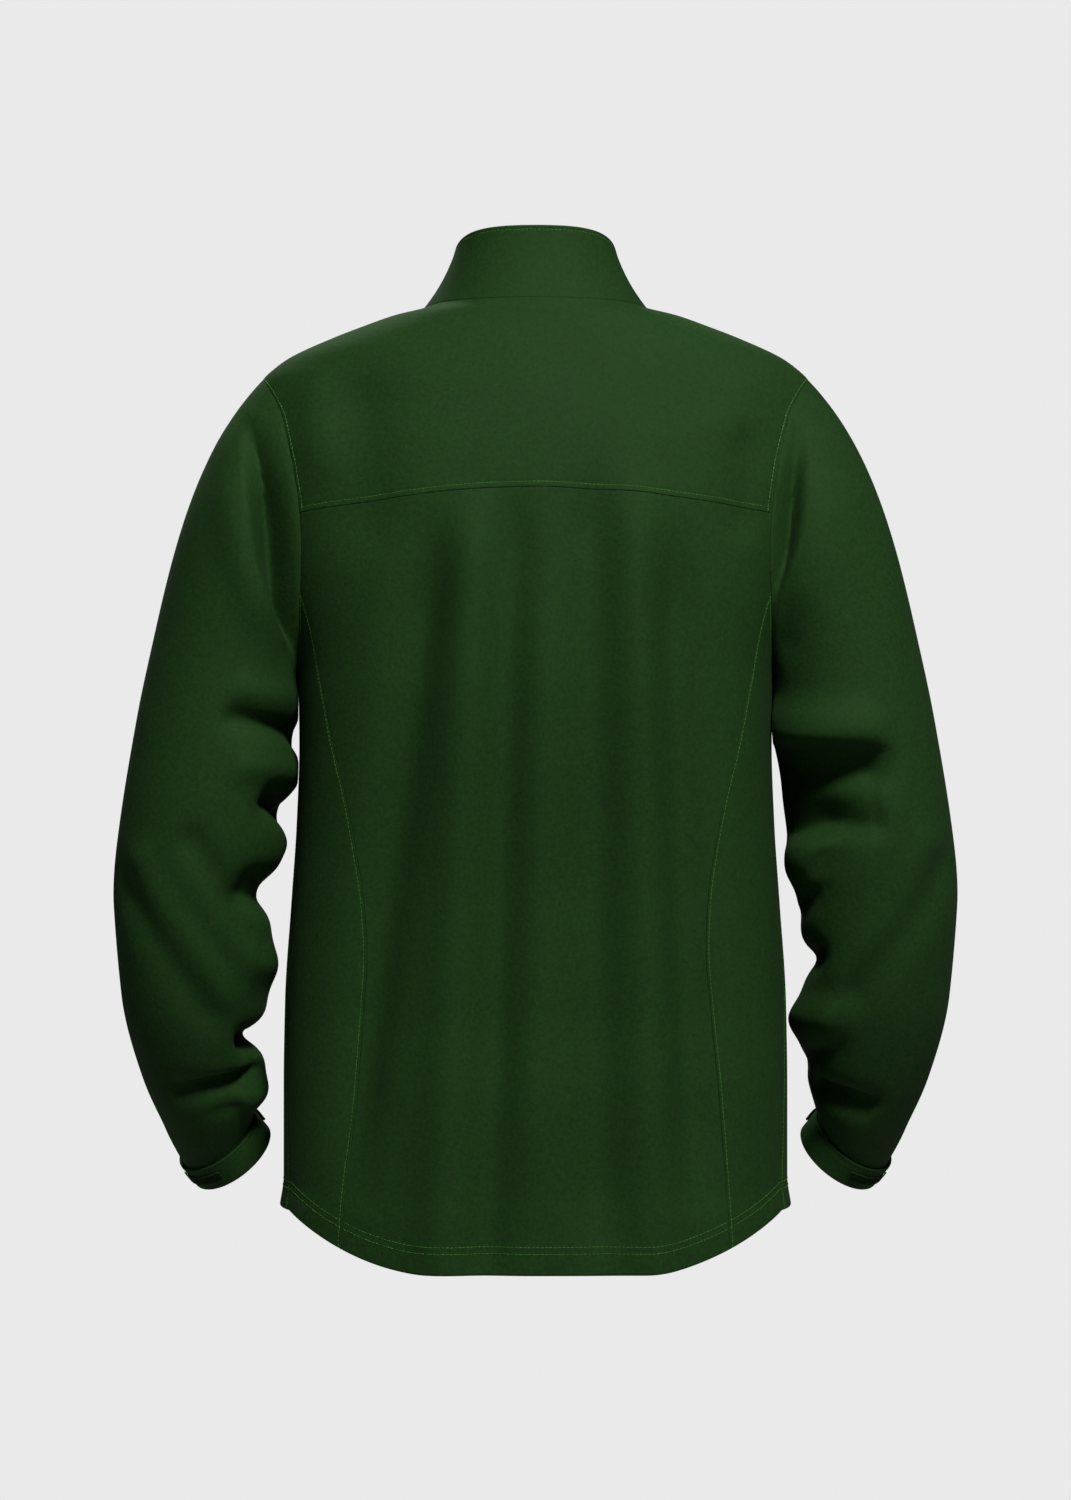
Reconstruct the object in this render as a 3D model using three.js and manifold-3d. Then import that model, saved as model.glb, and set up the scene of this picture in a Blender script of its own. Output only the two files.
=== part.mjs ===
// A softshell jacket filled out as if worn, closed to the top of its stand collar.
// Units are millimetres. +Z is up, the front faces -Y and the wearer's left is +X.
// The origin lies between the two shoulders at the height where the collar meets them.
//
// The trunk is a stack of level rings, so a point on it is given by a turn (degrees round from the
// centre back, positive towards the wearer's left) and a height. The cloth panels are patches of
// that trunk between the seams. A sleeve is a tube from the armhole down to the cuff.
import * as THREE from "three";
import { mergeVertices } from "three/addons/utils/BufferGeometryUtils.js";
import Module from "manifold-3d";

const wasm = await Module();
wasm.setup();

// ---------------------------------------------------------------- driving dimensions
const CLOTH = 1.6; // bonded softshell
const SEAM_GAP = 0.3; // clear space between neighbouring pieces
const FRONT_HEM = -690;
const SIDE_SEAM = { top: 90, bottom: 75.7 }; // turn of the side seam at the underarm and at the hem
const NECK = { back: -2, drop: 70, sharpness: 5.1 }; // height of the neck seam round the neck
const COLLAR_TOP = { halfWidth: 61.5, back: 60, front: 73, high: 54, drop: 62, sharpness: 1.95 };
const COLLAR_HOLLOW = 2; // how far the collar bows in between seam and top edge
const YOKE = { centre: -147, drop: 16.7 };
const TAIL = { low: -730, rise: 40, flat: 80, reach: 188, curve: 1.8 }; // dropped back hem
const ARMHOLE = { middle: -172, halfHeight: 114, back: 68, front: 63 };
const SLEEVE_CLEAR = 1.2; // how far a sleeve stays off the trunk it hangs beside
const CUFF = { x: 248.5, y: -52, z: -644, radius: 36, thick: 2.2, height: 22, tilt: 36, lean: 26 };
const STRAP = { from: 188, to: 350, height: 12, thick: 1.8 }; // closing strap round the cuff
const LOOP = { from: 2, to: 72, height: 9, thick: 1 }; // the patch that the strap closes on
const ZIP = { halfOpening: 4.2, halfChain: 3.3, front: 1.2, behind: 1.5 };
const TAPE = { reach: 14, thick: 1, under: 2.5 }; // under: how far it lies under the outside

const SLIDER = { z: -19, width: 10, height: 12, plate: 2.4, core: 6.4 };
const LUG = { thick: 2, depth: 5.2, height: 7, bore: 1.5, rise: 2 }; // the ear that holds the pull
const PULL = { width: 8, length: 32, thick: 2, bar: 0.9, armInside: 1.7, reach: 3.2 };

// Trunk rings. z: height, w: half width, back and front: depths, n: 2 is an ellipse, more is squarer.
const TRUNK = [
  { z: 2, w: 76, back: 73, front: 8, n: 2 },
  { z: -4, w: 86.5, back: 74.5, front: 20, n: 2 },
  { z: -10, w: 111, back: 76.5, front: 36.5, n: 2 },
  { z: -18, w: 134, back: 79, front: 46, n: 2 },
  { z: -27, w: 157.5, back: 82.5, front: 52, n: 2 },
  { z: -42, w: 190, back: 88.5, front: 58.5, n: 1.9 },
  { z: -50, w: 201, back: 92, front: 61, n: 1.82 },
  { z: -57, w: 208.5, back: 95, front: 63.5, n: 1.75 },
  { z: -65, w: 213.5, back: 98.5, front: 66, n: 1.7 },
  { z: -80, w: 219, back: 104, front: 73, n: 1.76 },
  { z: -100, w: 221, back: 110, front: 85, n: 1.86 },
  { z: -130, w: 217, back: 116.5, front: 100, n: 2 },
  { z: -160, w: 210, back: 121, front: 112, n: 2.1 },
  { z: -220, w: 195.5, back: 126, front: 128, n: 2.25 },
  { z: -285, w: 182, back: 127, front: 136, n: 2.4 },
  { z: -340, w: 181, back: 124, front: 138, n: 2.4 },
  { z: -400, w: 183, back: 119, front: 136, n: 2.4 },
  { z: -457, w: 187, back: 116, front: 134, n: 2.4 },
  { z: -534, w: 192, back: 116, front: 131, n: 2.4 },
  { z: -600, w: 193, back: 122, front: 130, n: 2.4 },
  { z: -670, w: 193, back: 125, front: 130, n: 2.4 },
  { z: -693, w: 196, back: 127, front: 132, n: 2.4 },
  { z: -740, w: 198, back: 129, front: 134, n: 2.4 },
];

// Seam between the back panel and each back side panel. x: distance from the centre.
const PRINCESS = [
  { z: -200, x: 184 },
  { z: -222, x: 177.5 },
  { z: -250, x: 169.5 },
  { z: -287, x: 162.4 },
  { z: -341, x: 151.4 },
  { z: -379, x: 142 },
  { z: -420, x: 135 },
  { z: -453, x: 131.2 },
  { z: -490, x: 130 },
  { z: -534, x: 133 },
  { z: -601, x: 139 },
  { z: -660, x: 142.5 },
  { z: -740, x: 146 },
];

// Soft upright folds of the trunk, from (x1, z1) down to (x2, z2). half: half width, depth: out (+)
// or in (-), fade: length over which each end dies away.
const BACK_FOLDS = [
  { x1: 44, z1: -170, x2: 68, z2: -760, half: 24, depth: 7, fade: 90 },
  { x1: 66, z1: -230, x2: 122, z2: -640, half: 20, depth: -7, fade: 110 },
  { x1: 20, z1: -180, x2: 36, z2: -740, half: 17, depth: -4, fade: 100 },
  { x1: -6, z1: -260, x2: 2, z2: -620, half: 18, depth: 3, fade: 90 },
  { x1: -48, z1: -150, x2: -52, z2: -700, half: 20, depth: -7.5, fade: 100 },
  { x1: -76, z1: -150, x2: -90, z2: -760, half: 24, depth: 6.5, fade: 90 },
  { x1: -106, z1: -240, x2: -122, z2: -640, half: 20, depth: -5, fade: 110 },
  { x1: 134, z1: -60, x2: 128, z2: -190, half: 26, depth: -5.5, fade: 50 },
  { x1: 165, z1: -62, x2: 163, z2: -130, half: 17, depth: 3.5, fade: 40 },
  { x1: -160, z1: -100, x2: -158, z2: -180, half: 16, depth: -4, fade: 30 },
  { x1: -155, z1: -60, x2: -150, z2: -110, half: 22, depth: 3, fade: 30 },
];
const FRONT_FOLDS = [
  { x1: 92, z1: -200, x2: 112, z2: -700, half: 26, depth: 6.5, fade: 110 },
  { x1: 50, z1: -260, x2: 66, z2: -690, half: 24, depth: -5, fade: 120 },
  { x1: 140, z1: -230, x2: 146, z2: -640, half: 20, depth: -5, fade: 100 },
  { x1: -86, z1: -200, x2: -104, z2: -700, half: 26, depth: 6, fade: 110 },
  { x1: -46, z1: -280, x2: -60, z2: -690, half: 24, depth: -4.5, fade: 120 },
  { x1: -138, z1: -230, x2: -142, z2: -640, half: 20, depth: -5, fade: 100 },
  { x1: 142, z1: -100, x2: 140, z2: -220, half: 20, depth: -5, fade: 50 },
  { x1: -144, z1: -100, x2: -140, z2: -220, half: 20, depth: -5, fade: 50 },
];

// The way each side of the sleeve cap sets off from the armhole. turn: degrees round the sleeve
// from its outer side through the back (90) and the underarm (180).
const CAP = [
  { turn: 0, out: 0.69, back: 0, down: 0.72 },
  { turn: 90, out: 0.8, back: 0.25, down: 0.5 },
  { turn: 180, out: 0.05, back: 0, down: 1 },
  { turn: 270, out: 0.8, back: -0.3, down: 0.5 },
  { turn: 360, out: 0.69, back: 0, down: 0.72 },
];

// Sleeve rings below the cap, on the wearer's left. x, y, z: middle, w and d: half width and half
// depth, tilt: how far the outer side dips, lean: how far the back dips (degrees).
const SLEEVE = [
  { at: 0, x: 238, y: 3, z: -291, w: 63, d: 69, tilt: -27, lean: -3 },
  { at: 1, x: 245, y: 6, z: -340, w: 64, d: 68, tilt: -18, lean: -2 },
  { at: 2, x: 254, y: 8, z: -400, w: 64, d: 66, tilt: -8, lean: 2 },
  { at: 3, x: 262, y: 6, z: -460, w: 61, d: 63, tilt: 2, lean: 7 },
  { at: 4, x: 262, y: -3, z: -520, w: 57, d: 58, tilt: 10, lean: 13 },
  { at: 5, x: 255.8, y: -20, z: -575, w: 51.5, d: 51, tilt: 20, lean: 19 },
  { at: 6, x: 249.5, y: -38, z: -614, w: 44, d: 43, tilt: 30, lean: 24 },
  { at: 7, x: 248.5, y: -52, z: -644, w: 33.2, d: 33.2, tilt: 36, lean: 26 },
  { at: 8, x: 245.8, y: -54.2, z: -647.6, w: 33.2, d: 33.2, tilt: 36, lean: 26 },
];

// Sleeve folds, each from (turn1, z1) to (turn2, z2). half: half width, depth: out (+) or in (-).
const FOLDS_LEFT = [
  { turn1: 72, z1: -130, turn2: 140, z2: -262, half: 16, depth: -9 },
  { turn1: 62, z1: -150, turn2: 110, z2: -225, half: 20, depth: 4 },
  { turn1: 110, z1: -296, turn2: 170, z2: -306, half: 12, depth: 4 },
  { turn1: 106, z1: -318, turn2: 190, z2: -336, half: 10, depth: -6 },
  { turn1: 120, z1: -354, turn2: 185, z2: -360, half: 12, depth: 5 },
  { turn1: 145, z1: -380, turn2: 200, z2: -394, half: 11, depth: -13 },
  { turn1: 205, z1: -414, turn2: 245, z2: -410, half: 15, depth: 5 },
  { turn1: 88, z1: -411, turn2: 150, z2: -492, half: 12, depth: -5 },
  { turn1: 140, z1: -446, turn2: 208, z2: -455, half: 14, depth: -13 },
  { turn1: 150, z1: -500, turn2: 205, z2: -514, half: 17, depth: 8 },
  { turn1: 35, z1: -442, turn2: 100, z2: -541, half: 13, depth: -4 },
  { turn1: 52, z1: -426, turn2: 118, z2: -526, half: 13, depth: 4 },
  { turn1: 135, z1: -567, turn2: 212, z2: -557, half: 12, depth: -17 },
  { turn1: 60, z1: -603, turn2: 150, z2: -585, half: 9, depth: -6 },
  { turn1: 120, z1: -612, turn2: 200, z2: -600, half: 10, depth: 6 },
  { turn1: 260, z1: -372, turn2: 330, z2: -398, half: 13, depth: -7 },
  { turn1: 250, z1: -432, turn2: 320, z2: -470, half: 15, depth: 6 },
  { turn1: 230, z1: -520, turn2: 310, z2: -560, half: 13, depth: -7 },
  { turn1: 220, z1: -130, turn2: 280, z2: -250, half: 18, depth: -5 },
];
const FOLDS_RIGHT = [
  { turn1: 72, z1: -125, turn2: 136, z2: -252, half: 15, depth: -9 },
  { turn1: 60, z1: -145, turn2: 108, z2: -215, half: 20, depth: 4 },
  { turn1: 85, z1: -324, turn2: 175, z2: -318, half: 15, depth: 7 },
  { turn1: 88, z1: -356, turn2: 175, z2: -364, half: 15, depth: -13 },
  { turn1: 150, z1: -430, turn2: 205, z2: -436, half: 15, depth: 5 },
  { turn1: 150, z1: -498, turn2: 205, z2: -506, half: 12, depth: -9 },
  { turn1: 35, z1: -430, turn2: 105, z2: -525, half: 14, depth: -4 },
  { turn1: 55, z1: -414, turn2: 120, z2: -510, half: 14, depth: 4 },
  { turn1: 130, z1: -545, turn2: 208, z2: -552, half: 18, depth: 12 },
  { turn1: 78, z1: -614, turn2: 142, z2: -598, half: 9, depth: -7 },
  { turn1: 255, z1: -360, turn2: 325, z2: -380, half: 14, depth: -8 },
  { turn1: 250, z1: -440, turn2: 320, z2: -482, half: 15, depth: 6 },
  { turn1: 228, z1: -525, turn2: 305, z2: -565, half: 13, depth: -7 },
  { turn1: 220, z1: -130, turn2: 280, z2: -245, half: 18, depth: -5 },
];

// ---------------------------------------------------------------- helpers
const radians = THREE.MathUtils.degToRad;
const degrees = THREE.MathUtils.radToDeg;
const clamp = THREE.MathUtils.clamp;
const lerp = THREE.MathUtils.lerp;
const vec = (x, y, z) => new THREE.Vector3(x, y, z);
const between = (from, to, n) => Array.from({ length: n + 1 }, (_, i) => lerp(from, to, i / n));
const ease = (t) => clamp(t, 0, 1) ** 2 * (3 - 2 * clamp(t, 0, 1));

// The smooth value of a table's column where its key column is at a value. It never overshoots.
function read(table, key, column, value) {
  const up = table[0][key] < table[table.length - 1][key] ? 1 : -1;
  const last = table.length - 2;
  let i = 0;
  while (i < last && up * value > up * table[i + 1][key]) i++;
  const width = (k) => table[k + 1][key] - table[k][key];
  const slope = (k) => (table[k + 1][column] - table[k][column]) / width(k);
  const tangent = (k) => {
    if (k === 0) return slope(0);
    if (k === table.length - 1) return slope(last);
    const [a, b] = [slope(k - 1), slope(k)];
    if (a * b <= 0) return 0;
    const [wa, wb] = [2 * width(k) + width(k - 1), width(k) + 2 * width(k - 1)];
    return (wa + wb) / (wa / a + wb / b);
  };
  const h = width(i);
  const t = clamp((value - table[i][key]) / h, 0, 1);
  const [t2, t3] = [t * t, t * t * t];
  return (
    table[i][column] * (2 * t3 - 3 * t2 + 1) +
    h * tangent(i) * (t3 - 2 * t2 + t) +
    table[i + 1][column] * (3 * t2 - 2 * t3) +
    h * tangent(i + 1) * (t3 - t2)
  );
}

// The outward normal of a surface function whose first number runs anticlockwise seen from above
// as it falls and whose second runs upwards, or both the other way.
function outward(surface, a, b, stepA, stepB) {
  const across = surface(a + stepA, b).sub(surface(a - stepA, b));
  const along = surface(a, b + stepB).sub(surface(a, b - stepB));
  return along.cross(across).normalize();
}

// ---------------------------------------------------------------- the trunk
function ring(z) {
  const [w, back, front, n] = ["w", "back", "front", "n"].map((c) => read(TRUNK, "z", c, z));
  return { w, back, front, n };
}

function plainTrunk(turn, z) {
  const { w, back, front, n } = ring(z);
  const [s, c] = [Math.sin(radians(turn)), Math.cos(radians(turn))];
  const depth = c > 0 ? back : front;
  const r = (Math.abs(s / w) ** n + Math.abs(c / depth) ** n) ** (-1 / n);
  return vec(r * s, r * c, z);
}

// The turn at which the back of the trunk is x from the centre, at a height.
function turnAt(x, z) {
  const { w, back, n } = ring(z);
  return degrees(Math.atan2(x, back * Math.max(0, 1 - (x / w) ** n) ** (1 / n)));
}

function trunkFold(p) {
  const folds = p.y > 0 ? BACK_FOLDS : FRONT_FOLDS;
  const depth = folds.reduce((sum, f) => {
    const x = lerp(f.x1, f.x2, clamp((p.z - f.z1) / (f.z2 - f.z1), 0, 1));
    const ends = ease(Math.min(f.z1 - p.z, p.z - f.z2) / f.fade + 0.5);
    return sum + f.depth * ends * Math.exp(-(((p.x - x) / f.half) ** 2));
  }, 0);
  return depth * ease(Math.abs(p.y) / 60);
}

function trunk(turn, z) {
  const p = plainTrunk(turn, z);
  return p.addScaledVector(outward(plainTrunk, turn, z, 0.5, 1), trunkFold(p));
}

// ---------------------------------------------------------------- seams, as [turn, height]
const neckSeam = (turn) => NECK.back - NECK.drop * ((1 - Math.cos(radians(turn))) / 2) ** NECK.sharpness;

// The armhole of the wearer's left, from the shoulder (0) through the back (90) and underarm (180).
function armhole(way) {
  const s = Math.sin(radians(way));
  const y = s * (s > 0 ? ARMHOLE.back : ARMHOLE.front);
  const z = ARMHOLE.middle + ARMHOLE.halfHeight * Math.cos(radians(way));
  const { w, back, front, n } = ring(z);
  const x = w * (1 - Math.abs(y / (y > 0 ? back : front)) ** n) ** (1 / n);
  return [degrees(Math.atan2(x, y)), z];
}
const wayAt = (z) => degrees(Math.acos((z - ARMHOLE.middle) / ARMHOLE.halfHeight));
const UNDERARM = ARMHOLE.middle - ARMHOLE.halfHeight;
const SHOULDER_TIP = ARMHOLE.middle + ARMHOLE.halfHeight;
const YOKE_WAY = wayAt(YOKE.centre - YOKE.drop);
const PRINCESS_WAY = wayAt(-222);

const YOKE_END = armhole(YOKE_WAY)[0];
const yokeSeam = (turn) => YOKE.centre - YOKE.drop * (turn / YOKE_END) ** 2;

function backHem(turn) {
  const x = Math.abs(plainTrunk(turn, TAIL.low + TAIL.rise / 2).x);
  const t = clamp((x - TAIL.flat) / (TAIL.reach - TAIL.flat), 0, 1);
  return TAIL.low + TAIL.rise * t ** TAIL.curve;
}

const sideSeam = (z) =>
  lerp(SIDE_SEAM.top, SIDE_SEAM.bottom, clamp((z - UNDERARM) / (FRONT_HEM - UNDERARM), 0, 1));

// The turn of a front's free edge, a fixed distance from the centre.
const frontEdge = (z) => 180 - degrees(Math.asin(ZIP.halfOpening / ring(z).front));

// Where the pieces have their corners along a shared seam, so that their edges match.
const BACK_COLUMNS = 20;
const FRONT_COLUMNS = 10;
const BODY_ROWS = 14;
const SHOULDER = between(neckSeam(90), SHOULDER_TIP, 5).map((z) => [90, z]);
const ARMHOLE_STOPS = {
  yoke: between(0, YOKE_WAY, 5),
  back: between(YOKE_WAY, PRINCESS_WAY, 2),
  side: between(PRINCESS_WAY, 180, 5),
  front: between(180, 360, 11),
};
const SIDE_STOPS = between(UNDERARM, FRONT_HEM, BODY_ROWS).map((z) => [sideSeam(z), z]);

function princessSeam() {
  const start = armhole(PRINCESS_WAY);
  const seamTurn = (z) => turnAt(read(PRINCESS, "z", "x", z), z);
  let foot = TAIL.low + TAIL.rise / 3;
  for (let i = 0; i < 6; i++) foot = backHem(seamTurn(foot));
  return [start, ...between(start[1], foot, BODY_ROWS).slice(1).map((z) => [seamTurn(z), z])];
}

// ---------------------------------------------------------------- cloth walls
// A closed wall between two grids of points, rows running down and columns anticlockwise seen from
// above. A round one joins its last column to its first.
function wall(outer, inner, round = false) {
  const [rows, cols] = [outer.length, outer[0].length];
  const positions = [...outer.flat(), ...inner.flat()].flatMap((p) => p.toArray());
  const index = [];
  const at = (side, i, j) => side * rows * cols + i * cols + (j % cols);
  const quad = (a, b, c, d) => index.push(a, b, c, a, c, d);
  const across = round ? cols : cols - 1;
  const [m, n] = [rows - 1, cols - 1];
  for (let j = 0; j < across; j++) {
    for (let i = 0; i < m; i++) {
      quad(at(0, i, j), at(0, i + 1, j), at(0, i + 1, j + 1), at(0, i, j + 1));
      quad(at(1, i, j), at(1, i, j + 1), at(1, i + 1, j + 1), at(1, i + 1, j));
    }
    quad(at(0, 0, j), at(0, 0, j + 1), at(1, 0, j + 1), at(1, 0, j));
    quad(at(0, m, j + 1), at(0, m, j), at(1, m, j), at(1, m, j + 1));
  }
  for (let i = 0; i < m && !round; i++) {
    quad(at(0, i + 1, 0), at(0, i, 0), at(1, i, 0), at(1, i + 1, 0));
    quad(at(0, i, n), at(0, i + 1, n), at(1, i + 1, n), at(1, i, n));
  }
  const geometry = new THREE.BufferGeometry();
  geometry.setAttribute("position", new THREE.Float32BufferAttribute(positions, 3));
  geometry.setIndex(index);
  geometry.computeVertexNormals();
  return geometry;
}

// A grid of [turn, height] pairs inside four edges that share their corners.
function patch(top, bottom, left, right) {
  const [m, n] = [left.length - 1, top.length - 1];
  const blend = (i, j, k) => {
    const u = j / n;
    const v = (left[i][1] - left[0][1]) / (left[m][1] - left[0][1]);
    const sides = lerp(left[i][k], right[i][k], u) + lerp(top[j][k], bottom[j][k], v);
    return sides - lerp(lerp(top[0][k], top[n][k], u), lerp(bottom[0][k], bottom[n][k], u), v);
  };
  return left.map((_, i) => top.map((_, j) => [blend(i, j, 0), blend(i, j, 1)]));
}

// Draws the named edges of a grid of points in by half the seam gap, along the grid itself.
function drawIn(points, edges) {
  const [m, n] = [points.length - 1, points[0].length - 1];
  const toward = (p, q) => p.clone().addScaledVector(q.clone().sub(p).normalize(), SEAM_GAP / 2);
  const moved = points.map((row) => row.map((p) => p.clone()));
  for (let i = 0; i <= m; i++) {
    if (edges.includes("left")) moved[i][0] = toward(moved[i][0], moved[i][1]);
    if (edges.includes("right")) moved[i][n] = toward(moved[i][n], moved[i][n - 1]);
  }
  for (let j = 0; j <= n; j++) {
    if (edges.includes("top")) moved[0][j] = toward(moved[0][j], moved[1][j]);
    if (edges.includes("bottom")) moved[m][j] = toward(moved[m][j], moved[m - 1][j]);
  }
  return moved;
}

// The wall over a grid of surface positions, from one depth under the surface to another.
function shell(surface, grid, edges, outside = 0, inside = CLOTH, round = false, steps = [0.8, 2]) {
  const points = grid.map((row) => row.map(([a, b]) => surface(a, b)));
  const normals = grid.map((row) => row.map(([a, b]) => outward(surface, a, b, ...steps)));
  const under = (depth) =>
    drawIn(
      points.map((row, i) => row.map((p, j) => p.clone().addScaledVector(normals[i][j], -depth))),
      edges,
    );
  return wall(under(outside), under(inside), round);
}

const mirrorGrid = (grid) => grid.map((row) => row.map(([turn, z]) => [-turn, z]).reverse());
const mirrorLine = (line) => line.map(([turn, z]) => [-turn, z]);
const at = (turns, height) => turns.map((turn) => [turn, height(turn)]);

// ---------------------------------------------------------------- trunk panels
function backYoke() {
  const left = [...SHOULDER.slice(0, -1), ...ARMHOLE_STOPS.yoke.map(armhole)];
  const top = at(between(90, -90, BACK_COLUMNS), neckSeam);
  const bottom = at(between(YOKE_END, -YOKE_END, BACK_COLUMNS), yokeSeam);
  return shell(trunk, patch(top, bottom, left, mirrorLine(left)), ["top", "bottom", "left", "right"]);
}

function backPanel() {
  const seam = princessSeam();
  const left = [...ARMHOLE_STOPS.back.slice(0, -1).map(armhole), ...seam];
  const foot = seam[BODY_ROWS][0];
  const top = at(between(YOKE_END, -YOKE_END, BACK_COLUMNS), yokeSeam);
  const bottom = at(between(foot, -foot, BACK_COLUMNS), backHem);
  return shell(trunk, patch(top, bottom, left, mirrorLine(left)), ["top", "left", "right"]);
}

function backSidePanel(mirror) {
  const seam = princessSeam();
  const top = [...ARMHOLE_STOPS.side].reverse().map(armhole);
  const bottom = at(between(SIDE_SEAM.bottom, seam[BODY_ROWS][0], top.length - 1), backHem);
  const grid = patch(top, bottom, SIDE_STOPS, seam);
  return shell(trunk, mirror ? mirrorGrid(grid) : grid, ["top", "left", "right"]);
}

function front(mirror) {
  const down = [...ARMHOLE_STOPS.front].reverse().map(armhole);
  const side = [...SHOULDER.slice(0, -1), ...down, ...SIDE_STOPS.slice(1)];
  const head = neckSeam(frontEdge(neckSeam(180)));
  const share = side.map((p) => (p[1] - side[0][1]) / (FRONT_HEM - side[0][1]));
  const centre = share.map((t) => lerp(head, FRONT_HEM, t)).map((z) => [frontEdge(z), z]);
  const top = at(between(centre[0][0], 90, FRONT_COLUMNS), neckSeam);
  const bottom = at(between(frontEdge(FRONT_HEM), SIDE_SEAM.bottom, FRONT_COLUMNS), () => FRONT_HEM);
  const grid = patch(top, bottom, centre, side);
  return mirror ? shell(trunk, mirrorGrid(grid), ["top", "left"]) : shell(trunk, grid, ["top", "right"]);
}

// ---------------------------------------------------------------- collar
function collarTop(turn) {
  const [s, c] = [Math.sin(radians(turn)), Math.cos(radians(turn))];
  const r = 1 / Math.hypot(s / COLLAR_TOP.halfWidth, c / (c > 0 ? COLLAR_TOP.back : COLLAR_TOP.front));
  return vec(r * s, r * c, COLLAR_TOP.high - COLLAR_TOP.drop * ((1 - c) / 2) ** COLLAR_TOP.sharpness);
}

// A point on the collar. up: 0 at the neck seam, 1 at the top edge.
function collarPoint(turn, up) {
  const p = plainTrunk(turn, neckSeam(turn)).lerp(collarTop(turn), up);
  const bow = 4 * COLLAR_HOLLOW * up * (1 - up);
  return p.addScaledVector(vec(p.x, p.y, 0).normalize(), -bow);
}

function collar() {
  const edge = frontEdge(neckSeam(180));
  const half = [...between(edge, 90, FRONT_COLUMNS), ...between(90, 0, BACK_COLUMNS / 2).slice(1)];
  const turns = [...half, ...half.slice(0, -1).reverse().map((turn) => -turn)];
  const grid = between(1, 0, 5).map((up) => turns.map((turn) => [turn, up]));
  return shell(collarPoint, grid, ["bottom"], 0, CLOTH, false, [1, 0.02]);
}

// ---------------------------------------------------------------- sleeves
// A point on a level-to-leaning ring: its middle, half sizes and two angles, at a turn round it.
function onRing({ x, y, z, w, d, tilt, lean }, turn) {
  const out = vec(Math.cos(radians(tilt)), 0, -Math.sin(radians(tilt)));
  const down = vec(-Math.sin(radians(tilt)), 0, -Math.cos(radians(tilt)));
  const back = vec(0, Math.cos(radians(lean)), 0).addScaledVector(down, Math.sin(radians(lean)));
  const p = vec(x, y, z).addScaledVector(out, w * Math.cos(radians(turn)));
  return p.addScaledVector(back, d * Math.sin(radians(turn)));
}

function sleeveRing(at) {
  const columns = ["x", "y", "z", "w", "d", "tilt", "lean"];
  return Object.fromEntries(columns.map((c) => [c, read(SLEEVE, "at", c, at)]));
}

// A point on the unfolded sleeve. down: -1 at the armhole, 0 to 8 on the sleeve's rings.
function plainSleeve(turn, down) {
  if (down > 0) return onRing(sleeveRing(down), turn);
  const way = ((turn % 360) + 360) % 360;
  const start = trunk(...armhole(way));
  const end = onRing(sleeveRing(0), turn);
  const length = start.distanceTo(end);
  const set = vec(...["out", "back", "down"].map((c) => read(CAP, "turn", c, way)));
  const leave = vec(set.x, set.y, -set.z).normalize().multiplyScalar(length);
  const arrive = onRing(sleeveRing(0.1), turn).sub(end).normalize().multiplyScalar(length);
  const [t, t2, t3] = [1, 2, 3].map((k) => (down + 1) ** k);
  return start
    .multiplyScalar(2 * t3 - 3 * t2 + 1)
    .addScaledVector(leave, t3 - 2 * t2 + t)
    .addScaledVector(end, 3 * t2 - 2 * t3)
    .addScaledVector(arrive, t3 - t2);
}

const ROUND_STEP = 1.05; // millimetres round the sleeve for each degree
function sleeveFold(folds, turn, z) {
  const wrap = (angle) => ((((angle + 180) % 360) + 360) % 360) - 180;
  return folds.reduce((sum, f) => {
    const [dx, dz] = [(f.turn2 - f.turn1) * ROUND_STEP, f.z2 - f.z1];
    const middle = (f.turn1 + f.turn2) / 2;
    const [px, pz] = [(wrap(turn - middle) + middle - f.turn1) * ROUND_STEP, z - f.z1];
    const t = clamp((px * dx + pz * dz) / (dx * dx + dz * dz), 0, 1);
    return sum + f.depth * Math.exp(-(((px - t * dx) ** 2 + (pz - t * dz) ** 2) / f.half ** 2));
  }, 0);
}

// Moves a point straight out from the trunk until it is clear of it.
function clearOfTrunk(p, clearance) {
  if (p.z > ARMHOLE.middle) return p;
  const surface = trunk(degrees(Math.atan2(p.x, p.y)), p.z);
  const [here, least] = [Math.hypot(p.x, p.y), Math.hypot(surface.x, surface.y) + clearance];
  const scale = Math.max(1, least / here);
  return vec(p.x * scale, p.y * scale, p.z);
}

function sleeveSurface(folds) {
  return (turn, down) => {
    const p = plainSleeve(turn, down);
    const fading = ease((down + 1) / 0.5) * ease((7.1 - down) / 0.6);
    const depth = fading * sleeveFold(folds, turn, p.z);
    p.addScaledVector(outward(plainSleeve, turn, Math.max(down, -0.98), 1, 0.02), depth);
    return clearOfTrunk(p, SLEEVE_CLEAR * ease((down + 1) / 0.5));
  };
}

const SLEEVE_TURNS = Object.values(ARMHOLE_STOPS).flatMap((stops) => stops.slice(0, -1));
const SLEEVE_DOWN = [...between(-1, 0, 5), ...between(0, 7, 21).slice(1), 7.5, 8];

// Mirrors a wearer's left piece to the wearer's right, keeping it facing outwards.
function mirrorPiece(geometry) {
  const copy = geometry.clone().scale(-1, 1, 1);
  const index = copy.getIndex();
  for (let i = 0; i < index.count; i += 3) {
    const [b, c] = [index.getX(i + 1), index.getX(i + 2)];
    index.setX(i + 1, c);
    index.setX(i + 2, b);
  }
  copy.computeVertexNormals();
  return copy;
}

function sleeve(folds) {
  const grid = SLEEVE_DOWN.map((down) => SLEEVE_TURNS.map((turn) => [turn, down]));
  return shell(sleeveSurface(folds), grid, ["top"], 0, CLOTH, true, [2, 0.03]);
}

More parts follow.
